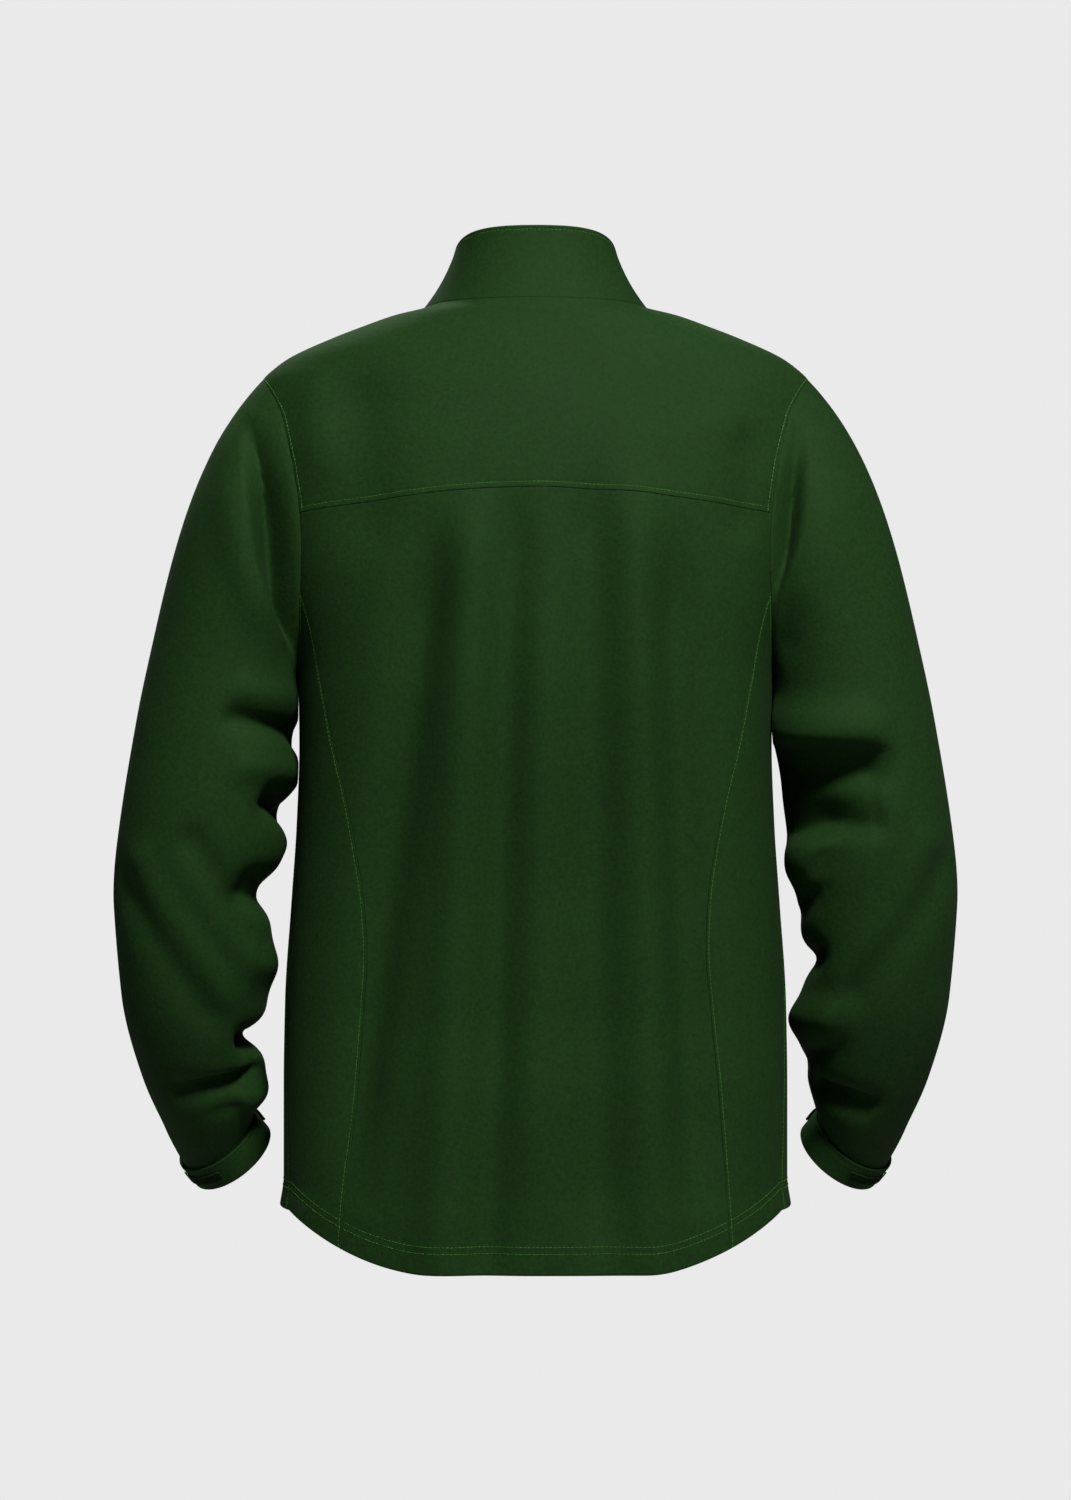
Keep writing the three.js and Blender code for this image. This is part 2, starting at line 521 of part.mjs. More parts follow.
// ---------------------------------------------------------------- cuffs
// A point on the outside of the cuff. down: millimetres below its top edge.
function cuffPoint(turn, down) {
  const { x, y, z, radius, tilt, lean } = CUFF;
  const sunk = { x, y, z, w: radius, d: radius, tilt, lean };
  const middle = vec(x, y, z);
  const across = onRing(sunk, 0).sub(middle);
  const axis = across.cross(onRing(sunk, 90).sub(middle)).normalize();
  if (axis.z > 0) axis.negate();
  return onRing(sunk, turn).addScaledVector(axis, down);
}

function cuffPiece(from, to, columns, top, height, outside, inside) {
  const round = to - from === 360;
  const turns = between(from, to, columns).slice(0, round ? -1 : undefined);
  const grid = [0, 0.5, 1].map((t) => turns.map((turn) => [turn, top + t * height]));
  return shell(cuffPoint, grid, [], outside, inside, round, [1, 1]);
}

const cuff = () => cuffPiece(0, 360, 28, 0, CUFF.height, 0, CUFF.thick);
const onCuff = (p, columns) => {
  const top = (CUFF.height - p.height) / 2;
  return cuffPiece(p.from, p.to, columns, top, p.height, -SEAM_GAP - p.thick, -SEAM_GAP);
};

// ---------------------------------------------------------------- zip
const NECK_FRONT = neckSeam(180);
const ZIP_TOP = collarTop(180).z;

// The centre front, from the top of the collar down to the hem.
function frontSurface(turn, z) {
  if (z < NECK_FRONT) return trunk(turn, z);
  return collarPoint(turn, (z - NECK_FRONT) / (ZIP_TOP - NECK_FRONT));
}
const turnOf = (x, z) => 180 - degrees(Math.asin(x / -frontSurface(180, z).y));

// A strip of even thickness down the centre front, between two distances from the centre.
function frontStrip(x1, x2, columns, zs, outside, inside) {
  const grid = zs.map((z) => between(x1, x2, columns).map((x) => [turnOf(x, z), z]));
  return shell(frontSurface, grid, [], outside, inside, false, [0.8, 1]);
}

const BOX = { height: 9, z: FRONT_HEM + 8 };
const TAPE_STOPS = [...between(ZIP_TOP - 2, NECK_FRONT, 4), ...between(-90, FRONT_HEM + 2, 24)];
const zipTape = () =>
  frontStrip(SEAM_GAP, TAPE.reach, 2, TAPE_STOPS, TAPE.under, TAPE.under + TAPE.thick);
const CHAIN_TOP = SLIDER.z - SLIDER.height / 2 - SEAM_GAP;
const CHAIN_FOOT = BOX.z + BOX.height / 2 + SEAM_GAP;
const CHAIN_STOPS = [...between(CHAIN_TOP, NECK_FRONT, 4), ...between(-90, CHAIN_FOOT, 24)];
const zipChain = () =>
  frontStrip(-ZIP.halfChain, ZIP.halfChain, 1, CHAIN_STOPS, -ZIP.front, ZIP.behind);

// ---------------------------------------------------------------- zip slider, pull and foot box
const { Manifold } = wasm;
const box = (x, y, z) => Manifold.cube([x, y, z], true);

// How far the centre front leans back at a height.
function leanAt(z) {
  const n = outward(frontSurface, 180, z, 0.8, 1);
  return degrees(Math.atan2(n.z, -n.y));
}

// A hard piece is drawn with its back on y = 0 and its front towards -Y, then laid on the zip.
const layOn = (solid, z) => solid.rotate([-leanAt(z), 0, 0]).translate([0, frontSurface(180, z).y, z]);

function sliderSolid() {
  const { width, height, plate, core } = SLIDER;
  const shape = box(core, ZIP.front + 1.2, height).translate([0, -(ZIP.front + 1.2) / 2 + 1.2, 0]);
  const face = box(width, plate, height).translate([0, -SEAM_GAP - plate / 2, 0]);
  const back = SEAM_GAP + plate;
  const lug = box(LUG.thick, LUG.depth, LUG.height).translate([0, 0.2 - back - LUG.depth / 2, LUG.rise]);
  const bore = Manifold.cylinder(10, LUG.bore, LUG.bore, 20, true).rotate([0, 90, 0]);
  return shape.add(face).add(lug).subtract(bore.translate([0, -back - PULL.reach, LUG.rise]));
}

// The pull hangs plumb from the middle of the lug's bore.
function pullSolid() {
  const { width, length, thick, bar, armInside } = PULL;
  const hinge = vec(0, -(SEAM_GAP + SLIDER.plate + PULL.reach), LUG.rise)
    .applyAxisAngle(vec(1, 0, 0), -radians(leanAt(SLIDER.z)))
    .add(vec(0, frontSurface(180, SLIDER.z).y, SLIDER.z));
  const pin = Manifold.cylinder(width - 0.8, bar, bar, 16, true).rotate([0, 90, 0]);
  const arm = width / 2 - armInside;
  const armAt = (side) => box(arm, thick, 8).translate([side * (armInside + arm / 2), 0, -3.2]);
  const tab = box(width, thick, length - 7).translate([0, 0, -7 - (length - 7) / 2]);
  return pin.add(armAt(1)).add(armAt(-1)).add(tab).translate(hinge.toArray());
}

const boxSolid = () => box(ZIP.halfChain * 2, ZIP.front + 1.4, BOX.height).translate([0, -0.1, 0]);

function fromManifold(solid) {
  const mesh = solid.getMesh();
  const geometry = new THREE.BufferGeometry();
  geometry.setAttribute("position", new THREE.Float32BufferAttribute(mesh.vertProperties, mesh.numProp));
  geometry.setIndex(Array.from(mesh.triVerts));
  return mergeVertices(geometry);
}

// ---------------------------------------------------------------- the jacket
const MATERIALS = {
  softshell: { color: 0x1f361b, roughness: 0.85, metalness: 0 },
  loop: { color: 0x16260f, roughness: 0.95, metalness: 0 },
  tape: { color: 0x17290f, roughness: 0.8, metalness: 0 },
  teeth: { color: 0x122109, roughness: 0.5, metalness: 0 },
  slider: { color: 0x14240f, roughness: 0.35, metalness: 0.8 },
};

const left = {
  strap: onCuff(STRAP, 16),
  loop: onCuff(LOOP, 7),
  cuff: cuff(),
  tape: zipTape(),
};
const PIECES = [
  ["back_yoke", backYoke(), "softshell"],
  ["back_panel", backPanel(), "softshell"],
  ["back_side_left", backSidePanel(false), "softshell"],
  ["back_side_right", backSidePanel(true), "softshell"],
  ["front_left", front(false), "softshell"],
  ["front_right", front(true), "softshell"],
  ["collar", collar(), "softshell"],
  ["sleeve_left", sleeve(FOLDS_LEFT), "softshell"],
  ["sleeve_right", mirrorPiece(sleeve(FOLDS_RIGHT)), "softshell"],
  ["cuff_left", left.cuff, "softshell"],
  ["cuff_right", mirrorPiece(left.cuff), "softshell"],
  ["cuff_strap_left", left.strap, "softshell"],
  ["cuff_strap_right", mirrorPiece(left.strap), "softshell"],
  ["loop_patch_left", left.loop, "loop"],
  ["loop_patch_right", mirrorPiece(left.loop), "loop"],
  ["zip_tape_left", left.tape, "tape"],
  ["zip_tape_right", mirrorPiece(left.tape), "tape"],
  ["zip_chain", zipChain(), "teeth"],
  ["zip_foot", fromManifold(layOn(boxSolid(), BOX.z)), "slider"],
  ["zip_slider", fromManifold(layOn(sliderSolid(), SLIDER.z)), "slider"],
  ["zip_pull", fromManifold(pullSolid()), "slider"],
];

const group = new THREE.Group();
for (const [name, geometry, material] of PIECES) {
  const mesh = new THREE.Mesh(geometry, new THREE.MeshStandardMaterial(MATERIALS[material]));
  mesh.name = name;
  group.add(mesh);
}
export default group;
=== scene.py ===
# %% [markdown]
# # A softshell jacket, filled out as if worn
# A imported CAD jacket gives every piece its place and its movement. This notebook dresses it: cloth
# with folds and sewn edges, topstitching, cuffs and a zip, each as its own object. Shapes are worked
# out in millimetres, as a garment pattern is, and turned to metres when a mesh is made.

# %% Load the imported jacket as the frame
import math

import bmesh
import bpy
import numpy as np
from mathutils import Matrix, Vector


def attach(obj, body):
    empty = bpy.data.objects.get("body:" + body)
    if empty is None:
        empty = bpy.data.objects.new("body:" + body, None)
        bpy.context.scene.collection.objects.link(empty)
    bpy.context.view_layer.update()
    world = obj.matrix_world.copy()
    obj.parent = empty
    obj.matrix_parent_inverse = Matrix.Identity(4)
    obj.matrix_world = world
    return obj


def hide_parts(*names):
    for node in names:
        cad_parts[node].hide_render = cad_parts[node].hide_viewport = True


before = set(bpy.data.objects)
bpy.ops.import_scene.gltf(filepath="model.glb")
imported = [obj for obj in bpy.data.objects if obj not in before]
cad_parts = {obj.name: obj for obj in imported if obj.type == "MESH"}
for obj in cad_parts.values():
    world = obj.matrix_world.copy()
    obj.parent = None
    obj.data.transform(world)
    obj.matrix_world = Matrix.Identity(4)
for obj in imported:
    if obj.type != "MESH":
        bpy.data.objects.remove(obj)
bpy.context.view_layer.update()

MM = 0.001
scene = bpy.context.scene
scene.view_settings.view_transform = "Standard"

# %% [markdown]
# ## The camera
# It stands 3.2 m behind the jacket, level with the middle of the picture. A long lens keeps the
# garment's proportions. A vertical picture measures its lens angle along the height.

# %% Place the camera
EYE_DISTANCE = 3.2
EYE_HEIGHT = -0.342
PICTURE_HEIGHT = 1.152  # metres seen from top to bottom at the jacket
bpy.ops.object.camera_add(location=(0, EYE_DISTANCE, EYE_HEIGHT), rotation=(math.pi / 2, 0, math.pi))
camera = bpy.context.object
camera.name = "camera"
camera.data.lens = camera.data.sensor_width * EYE_DISTANCE / PICTURE_HEIGHT
scene.camera = camera
print("Lens in millimetres:", round(camera.data.lens, 1))

# %% [markdown]
# ## Light, air and floor
# Dark matte cloth shows its folds only under broad light from above. The air itself gives a pale,
# even background and a dome that is brighter overhead, and large soft panels shape the folds from
# behind, in front and both sides, so that the jacket reads from every side. The floor lies at its
# real distance, 1.45 m below the neck, and fades into the air so that no edge shows.


# %% Helpers for node trees
def feed(tree, node, **values):
    """Gives a node's sockets values or links, by name (Base_Color) or by number (_0)."""
    for key, value in values.items():
        socket = node.inputs[int(key[1:]) if key[0] == "_" else key.replace("_", " ")]
        if isinstance(value, bpy.types.NodeSocket):
            tree.links.new(value, socket)
        else:
            socket.default_value = value
    return node


def add(tree, kind, settings=None, **values):
    """Adds a node, sets its plain settings and feeds its sockets."""
    made = tree.nodes.new(kind)
    for key, value in (settings or {}).items():
        setattr(made, key, value)
    return feed(tree, made, **values)


def maths(tree, operation, first, second=0.0):
    """One sum on two values or sockets."""
    return add(tree, "ShaderNodeMath", {"operation": operation}, _0=first, _1=second).outputs[0]


def remap(tree, value, low, high, to_low=0.0, to_high=1.0):
    """Turns a range of values into another, smoothly and without going past its ends."""
    return add(
        tree, "ShaderNodeMapRange", {"interpolation_type": "SMOOTHSTEP"},
        Value=value, From_Min=low, From_Max=high, To_Min=to_low, To_Max=to_high,
    ).outputs["Result"]


# %% The air
BACKDROP = (0.823, 0.823, 0.823, 1)
DOME_BELOW, DOME_ABOVE = 0.02, 0.08
air = bpy.data.worlds.new("air")
scene.world = air
air.use_nodes = True
tree = air.node_tree
tree.nodes.clear()
direction = add(tree, "ShaderNodeTexCoord").outputs["Generated"]
height = add(tree, "ShaderNodeSeparateXYZ", Vector=direction).outputs["Z"]
overhead = remap(tree, height, -0.5, 1, DOME_BELOW, DOME_ABOVE)
dome = add(tree, "ShaderNodeBackground", Color=(1, 1, 1, 1), Strength=overhead)
plain = add(tree, "ShaderNodeBackground", Color=BACKDROP, Strength=1.0)
seen = add(tree, "ShaderNodeLightPath").outputs["Is Camera Ray"]
mixed = add(tree, "ShaderNodeMixShader", _0=seen, _1=dome.outputs[0], _2=plain.outputs[0])
add(tree, "ShaderNodeOutputWorld", Surface=mixed.outputs[0])


# %% The soft panels
def soft_panel(name, place, size, watts, aim=(0, 0, -0.35)):
    """A square area light at a place, turned to a point."""
    bpy.ops.object.light_add(type="AREA", location=place)
    light = bpy.context.object
    light.name = name
    light.data.size, light.data.energy = size, watts
    light.rotation_euler = (Vector(place) - Vector(aim)).to_track_quat("Z", "Y").to_euler()
    return light


# Place, size in metres, watts.
PANELS = {
    "panel_back": ((-0.7, 2.25, 2.15), 0.7, 128),
    "panel_front": ((0.9, -2.3, 2.1), 0.7, 124),
    "panel_left": ((3.2, 0.2, 0.7), 1.4, 4),
    "panel_right": ((-3.2, 0.2, 0.7), 1.4, 5),
    "gloss_front": ((0.9, -2.3, 2.1), 0.7, 24),
}
for name, (place, size, watts) in PANELS.items():
    light = soft_panel(name, place, size, watts)
    light.visible_glossy = name in ("panel_back", "gloss_front")
    light.visible_diffuse = name != "gloss_front"
print("Soft panels:", len(PANELS))

# %% The floor
FLOOR_HEIGHT = -1.45
FLOOR_BOUNCE, FLOOR_SEEN = 0.25, 0.72  # it looks paler than it lights, so the undersides stay dark
bpy.ops.mesh.primitive_circle_add(vertices=96, radius=30, fill_type="NGON", location=(0, 0, FLOOR_HEIGHT))
floor = bpy.context.object
floor.name = "floor"
floor_paint = bpy.data.materials.new("pale_floor")
floor_paint.use_nodes = True
tree = floor_paint.node_tree
tree.nodes.clear()
place = add(tree, "ShaderNodeTexCoord").outputs["Object"]
reach = add(tree, "ShaderNodeVectorMath", {"operation": "LENGTH"}, _0=place).outputs["Value"]
seen = add(tree, "ShaderNodeLightPath").outputs["Is Camera Ray"]
lit = add(tree, "ShaderNodeBsdfDiffuse", Color=remap(tree, seen, 0, 1, FLOOR_BOUNCE, FLOOR_SEEN))
faded = add(tree, "ShaderNodeEmission", Color=BACKDROP, Strength=1.0)
glow = maths(tree, "MULTIPLY", remap(tree, reach, 0.7, 2.6), seen)
mixed = add(tree, "ShaderNodeMixShader", _0=glow, _1=lit.outputs[0], _2=faded.outputs[0])
add(tree, "ShaderNodeOutputMaterial", Surface=mixed.outputs[0])
floor.data.materials.append(floor_paint)

# %% [markdown]
# ## Finishes
# Softshell is a smooth face bonded to fleece: matte and finely grained. The grain is a node group, so
# that cloth, tape and patch share it with their own strengths. Only the zip's tapes show a weave.


# %% A group for the grain of cloth
THREADS = 7000.0  # radians of the weave's wave for each metre
SMOOTHEST, GRAIN_ROUGHNESS = 0.74, 0.16


def new_group(name, inputs, outputs):
    """An empty node group with named sockets, and its input and output nodes."""
    group = bpy.data.node_groups.new(name, "ShaderNodeTree")
    for direction, sockets in (("INPUT", inputs), ("OUTPUT", outputs)):
        for title, kind in sockets.items():
            group.interface.new_socket(name=title, in_out=direction, socket_type="NodeSocket" + kind)
    return group, group.nodes.new("NodeGroupInput").outputs, group.nodes.new("NodeGroupOutput").inputs


grain, given, result = new_group(
    "cloth_grain",
    {
        "Place": "Vector", "Along": "Vector", "Colour": "Color",
        "Patches": "Float", "Speckle": "Float", "Weave": "Float",
    },
    {"Colour": "Color", "Roughness": "Float", "Height": "Float"},
)
noise = "ShaderNodeTexNoise"
patches = add(grain, noise, Vector=given["Place"], Scale=9.0, Detail=2.0).outputs[0]
speckle = add(grain, noise, Vector=given["Place"], Scale=330.0, Detail=3.0, Roughness=0.7).outputs[0]
threads = add(grain, "ShaderNodeSeparateXYZ", Vector=given["Along"])
across, along = (
    maths(grain, "SINE", maths(grain, "MULTIPLY", threads.outputs[axis], THREADS)) for axis in ("X", "Y")
)
weave = maths(grain, "MULTIPLY", maths(grain, "MULTIPLY", across, along), given["Weave"])
lightness = 1.0
for pattern, strength in ((patches, "Patches"), (speckle, "Speckle")):
    change = maths(grain, "MULTIPLY", maths(grain, "SUBTRACT", pattern, 0.5), given[strength])
    lightness = maths(grain, "ADD", lightness, change)
tinted = add(grain, "ShaderNodeVectorMath", {"operation": "SCALE"}, _0=given["Colour"], Scale=lightness)
grain.links.new(tinted.outputs[0], result["Colour"])
dullness = maths(grain, "ADD", SMOOTHEST, maths(grain, "MULTIPLY", speckle, GRAIN_ROUGHNESS))
grain.links.new(dullness, result["Roughness"])
grain.links.new(maths(grain, "ADD", speckle, weave), result["Height"])


# %% Cloth finishes
def new_finish(name, colour):
    """A new material, its node tree and its shader."""
    finish = bpy.data.materials.new(name)
    finish.use_nodes = True
    finish.diffuse_color = (*colour, 1)
    return finish, finish.node_tree, finish.node_tree.nodes["Principled BSDF"]


def cloth_finish(name, colour, speckle=1.3, weave=0.0, bump=0.8):
    """A matte cloth: grained colour and height, with a trace of sheen from its short fibres."""
    finish, tree, shader = new_finish(name, colour)
    coordinates = add(tree, "ShaderNodeTexCoord").outputs
    cloth = add(
        tree, "ShaderNodeGroup", {"node_tree": grain},
        Place=coordinates["Object"], Along=coordinates["UV"], Colour=(*colour, 1),
        Patches=0.18, Speckle=speckle, Weave=weave,
    ).outputs
    relief = add(tree, "ShaderNodeBump", Strength=bump, Distance=0.00035, Height=cloth["Height"])
    feed(
        tree, shader, Base_Color=cloth["Colour"], Roughness=cloth["Roughness"], Normal=relief.outputs[0],
        Specular_IOR_Level=0.19, Sheen_Weight=0.01, Sheen_Roughness=0.45, Sheen_Tint=(0.55, 0.6, 0.55, 1),
    )
    return finish


softshell = cloth_finish("softshell", (0.0086, 0.0378, 0.0040))
loop_pile = cloth_finish("loop_pile", (0.009, 0.033, 0.006), speckle=1.1, weave=0.15, bump=0.6)
zip_tape_cloth = cloth_finish("zip_tape_cloth", (0.008, 0.03, 0.006), speckle=0.3, weave=0.8, bump=0.5)


# %% Thread, moulded teeth and painted metal
UNEVEN = 0.12


def hard_finish(name, colour, roughness, metallic=0.0):
    """A plastic, thread or paint with a slightly uneven colour and gloss."""
    finish, tree, shader = new_finish(name, colour)
    place = add(tree, "ShaderNodeTexCoord").outputs["Object"]
    fine = add(tree, "ShaderNodeTexNoise", Vector=place, Scale=900.0, Detail=2.0).outputs[0]
    lightness = maths(tree, "ADD", 1 - UNEVEN, maths(tree, "MULTIPLY", fine, 2 * UNEVEN))
    tinted = add(tree, "ShaderNodeVectorMath", {"operation": "SCALE"}, _0=colour, Scale=lightness)
    dullness = maths(tree, "ADD", roughness - 0.06, maths(tree, "MULTIPLY", fine, 0.12))
    relief = add(tree, "ShaderNodeBump", Strength=0.15, Distance=0.0002, Height=fine)
    feed(
        tree, shader, Base_Color=tinted.outputs[0], Roughness=dullness, Normal=relief.outputs[0],
        Metallic=metallic,
    )
    return finish


thread = hard_finish("thread", (0.045, 0.21, 0.012), 0.6)
moulded_teeth = hard_finish("moulded_teeth", (0.01, 0.036, 0.008), 0.42)
painted_metal = hard_finish("painted_metal", (0.012, 0.04, 0.01), 0.32, metallic=0.35)
print("Finishes:", [m.name for m in bpy.data.materials if m.users])

# %% [markdown]
# ## The form of the trunk
# The trunk is a stack of level rings. A table gives each ring's half width and its depth behind and
# in front, and a curve that never overshoots fills in between. A point is named by its turn round
# the body (0 at the centre back, positive towards the wearer's left) and its height.


# %% A smooth curve through a table
def eased_path(t, start, leave, arrive, end):
    """A cubic from start to end that sets off and arrives with the given slopes."""
    ends = start * (2 * t**3 - 3 * t**2 + 1) + end * (3 * t**2 - 2 * t**3)
    return ends + leave * (t**3 - 2 * t**2 + t) + arrive * (t**3 - t**2)


def smooth_curve(stops, values):
    """A smooth function through the values at the stops, level beyond the ends."""
    order = np.argsort(stops)
    x, y = np.array(stops, float)[order], np.array(values, float)[order]
    step = np.diff(x)
    rise = np.diff(y) / step
    slope = np.concatenate([rise[:1], np.zeros(len(x) - 2), rise[-1:]])
    before, after = rise[:-1], rise[1:]
    wide_before, wide_after = 2 * step[1:] + step[:-1], step[1:] + 2 * step[:-1]
    same = before * after > 0
    wide_before, wide_after = wide_before[same], wide_after[same]
    slope[1:-1][same] = (wide_before + wide_after) / (wide_before / before[same] + wide_after / after[same])

    def value_at(v):
        v = np.asarray(v, float)
        i = np.clip(np.searchsorted(x, v) - 1, 0, len(x) - 2)
        h, t = step[i], np.clip((v - x[i]) / step[i], 0, 1)
        return eased_path(t, y[i], h * slope[i], h * slope[i + 1], y[i + 1])

    return value_at


def columns(table):
    """One smooth function for each column after the first, all read at the first."""
    rows = np.array(table, float)
    return [smooth_curve(rows[:, 0], rows[:, k]) for k in range(1, rows.shape[1])]


# %% Small helpers
radians = np.radians


def lerp(a, b, t):
    return a + (b - a) * t


def ease(t):
    t = np.clip(t, 0, 1)
    return t * t * (3 - 2 * t)


def unit(v):
    return v / np.maximum(np.linalg.norm(v, axis=-1, keepdims=True), 1e-12)


def hump(distance, width):
    """A smooth rise from 0 to 1 and back, highest where the distance is 0."""
    return np.exp(-((distance / width) ** 2))


def matched(a, b):
    return np.broadcast_arrays(np.asarray(a, float), np.asarray(b, float))


def run_along(points, axis=0):
    """The distance of every point from the first, measured from point to point."""
    steps = np.linalg.norm(np.diff(points, axis=axis), axis=-1)
    return np.cumsum(np.insert(steps, 0, 0, axis=axis), axis=axis)


def outward(surface, a, b, step_a=0.5, step_b=1.0):
    """The outward normal of a surface, from its slope both ways."""
    across = surface(a + step_a, b) - surface(a - step_a, b)
    along = surface(a, b + step_b) - surface(a, b - step_b)
    return unit(np.cross(along, across))


# %% The trunk's rings and folds
# Height, half width, depth behind, depth in front, squareness (2 is an ellipse).
TRUNK = (
    (2, 76, 73, 8, 2), (-4, 86.5, 74.5, 20, 2), (-10, 111, 76.5, 36.5, 2), (-18, 134, 79, 46, 2),
    (-27, 157.5, 82.5, 52, 2), (-42, 190, 88.5, 58.5, 1.9), (-50, 201, 92, 61, 1.82),
    (-57, 208.5, 95, 63.5, 1.75), (-65, 213.5, 98.5, 66, 1.7), (-80, 219, 104, 73, 1.76),
    (-100, 221, 110, 85, 1.86), (-130, 217, 116.5, 100, 2), (-160, 210, 121, 112, 2.1),
    (-220, 195.5, 126, 128, 2.25), (-285, 182, 127, 136, 2.4), (-340, 181, 124, 138, 2.4),
    (-400, 183, 119, 136, 2.4), (-457, 187, 116, 134, 2.4), (-534, 192, 116, 131, 2.4),
    (-600, 193, 122, 130, 2.4), (-670, 193, 125, 130, 2.4), (-693, 196, 127, 132, 2.4),
    (-740, 198, 129, 134, 2.4),
)
# Each fold runs from (x, z) down to (x, z): half width, depth out (+) or in (-), fading length.
BACK_FOLDS = (
    (46, -170, 72, -760, 20, 8.5, 70), (78, -200, 138, -640, 20, -13, 110),
    (18, -165, 36, -740, 17, -8, 70), (-6, -240, 2, -660, 17, 4.5, 90),
    (-42, -150, -48, -700, 20, -9, 80), (-74, -150, -90, -760, 21, 8.5, 80),
    (-104, -200, -120, -660, 20, -12, 100), (134, -60, 128, -190, 26, -5.5, 50),
    (165, -62, 163, -130, 17, 3.5, 40), (-160, -100, -158, -180, 16, -4, 30),
    (-155, -60, -150, -110, 22, 3, 30),
)
FRONT_FOLDS = (
    (92, -200, 112, -700, 26, 6.5, 110), (50, -260, 66, -690, 24, -5, 120),
    (140, -230, 146, -640, 20, -5, 100), (-86, -200, -104, -700, 26, 6, 110),
    (-46, -280, -60, -690, 24, -4.5, 120), (-138, -230, -142, -640, 20, -5, 100),
    (142, -100, 140, -220, 20, -5, 50), (-144, -100, -140, -220, 20, -5, 50),
)
BEND_REACH = 24
width_at, behind_at, before_at, stepped_squareness = columns(TRUNK)


def squareness_at(z):
    """The squareness of a ring, with the bends of its curve spread out so that no line shows."""
    shifts = np.linspace(-BEND_REACH, BEND_REACH, 7)
    return sum(stepped_squareness(np.asarray(z, float) + shift) for shift in shifts) / len(shifts)


def plain_trunk(turn, z):
    turn, z = matched(turn, z)
    s, c = np.sin(radians(turn)), np.cos(radians(turn))
    depth = np.where(c > 0, behind_at(z), before_at(z))
    n = squareness_at(z)
    r = (np.abs(s / width_at(z)) ** n + np.abs(c / depth) ** n) ** (-1 / n)
    return np.stack([r * s, r * c, z], -1)


def folds_at(x, z, folds):
    depth = np.zeros_like(x)
    for x1, z1, x2, z2, half, deep, fade in folds:
        middle = lerp(x1, x2, np.clip((z - z1) / (z2 - z1), 0, 1))
        ends = ease(np.minimum(z1 - z, z - z2) / fade + 0.5)
        depth += deep * ends * hump(x - middle, half)
    return depth


def trunk(turn, z):
    p = plain_trunk(turn, z)
    x, y, z = p[..., 0], p[..., 1], p[..., 2]
    depth = np.where(y > 0, folds_at(x, z, BACK_FOLDS), folds_at(x, z, FRONT_FOLDS))
    depth = depth * ease(np.abs(y) / 60)
    return p + outward(plain_trunk, np.asarray(turn, float), z) * depth[..., None]


def right_trunk(turn, z):
    """The trunk's right side laid over to the left, so that both hands share one grid."""
    return trunk(-np.asarray(turn, float), z) * (-1, 1, 1)


TRUNK_OF = {"left": trunk, "right": right_trunk}
HANDS = (("left", False), ("right", True))  # each hand, and whether it is laid over to the right

# %% The seams, as turn and height
NECK = {"back": -2, "drop": 70, "sharpness": 5.1}
YOKE = {"centre": -147, "drop": 16.7}
TAIL = {"low": -730, "rise": 40, "flat": 80, "reach": 188, "curve": 1.8}
FRONT_HEM = -690
SIDE_SEAM = {"top": 90, "bottom": 75.7}
ARMHOLE = {"middle": -172, "half_height": 114, "back": 68, "front": 63}
ZIP_HALF_OPENING = 4.2
PRINCESS = (
    (-200, 184), (-222, 177.5), (-250, 169.5), (-287, 162.4), (-341, 151.4), (-379, 142), (-420, 135),
    (-453, 131.2), (-490, 130), (-534, 133), (-601, 139), (-660, 142.5), (-740, 146),
)
(princess_x,) = columns(PRINCESS)


def neck_seam(turn):
    return NECK["back"] - NECK["drop"] * ((1 - np.cos(radians(turn))) / 2) ** NECK["sharpness"]


def armhole(way):
    """The armhole of the wearer's left: from the shoulder (0) by the back (90) to the underarm (180)."""
    s = np.sin(radians(way))
    y = s * np.where(s > 0, ARMHOLE["back"], ARMHOLE["front"])
    z = ARMHOLE["middle"] + ARMHOLE["half_height"] * np.cos(radians(way))
    depth = np.where(y > 0, behind_at(z), before_at(z))
    n = squareness_at(z)
    x = width_at(z) * (1 - np.abs(y / depth) ** n) ** (1 / n)
    return np.stack([np.degrees(np.arctan2(x, y)), z], -1)


def way_at(z):
    return math.degrees(math.acos((z - ARMHOLE["middle"]) / ARMHOLE["half_height"]))


UNDERARM = ARMHOLE["middle"] - ARMHOLE["half_height"]
SHOULDER_TIP = ARMHOLE["middle"] + ARMHOLE["half_height"]
YOKE_WAY = way_at(YOKE["centre"] - YOKE["drop"])
PRINCESS_WAY = way_at(-222)
YOKE_END = float(armhole(YOKE_WAY)[0])


def yoke_seam(turn):
    return YOKE["centre"] - YOKE["drop"] * (turn / YOKE_END) ** 2


def back_hem(turn):
    x = np.abs(plain_trunk(turn, TAIL["low"] + TAIL["rise"] / 2)[..., 0])
    t = np.clip((x - TAIL["flat"]) / (TAIL["reach"] - TAIL["flat"]), 0, 1)
    return TAIL["low"] + TAIL["rise"] * t ** TAIL["curve"]


def side_seam(z):
    share = np.clip((z - UNDERARM) / (FRONT_HEM - UNDERARM), 0, 1)
    return lerp(SIDE_SEAM["top"], SIDE_SEAM["bottom"], share)


def turn_at(x, z):
    n = squareness_at(z)
    y = behind_at(z) * np.maximum(0, 1 - (x / width_at(z)) ** n) ** (1 / n)
    return np.degrees(np.arctan2(x, y))


def front_edge(z):
    return 180 - np.degrees(np.arcsin(ZIP_HALF_OPENING / before_at(z)))


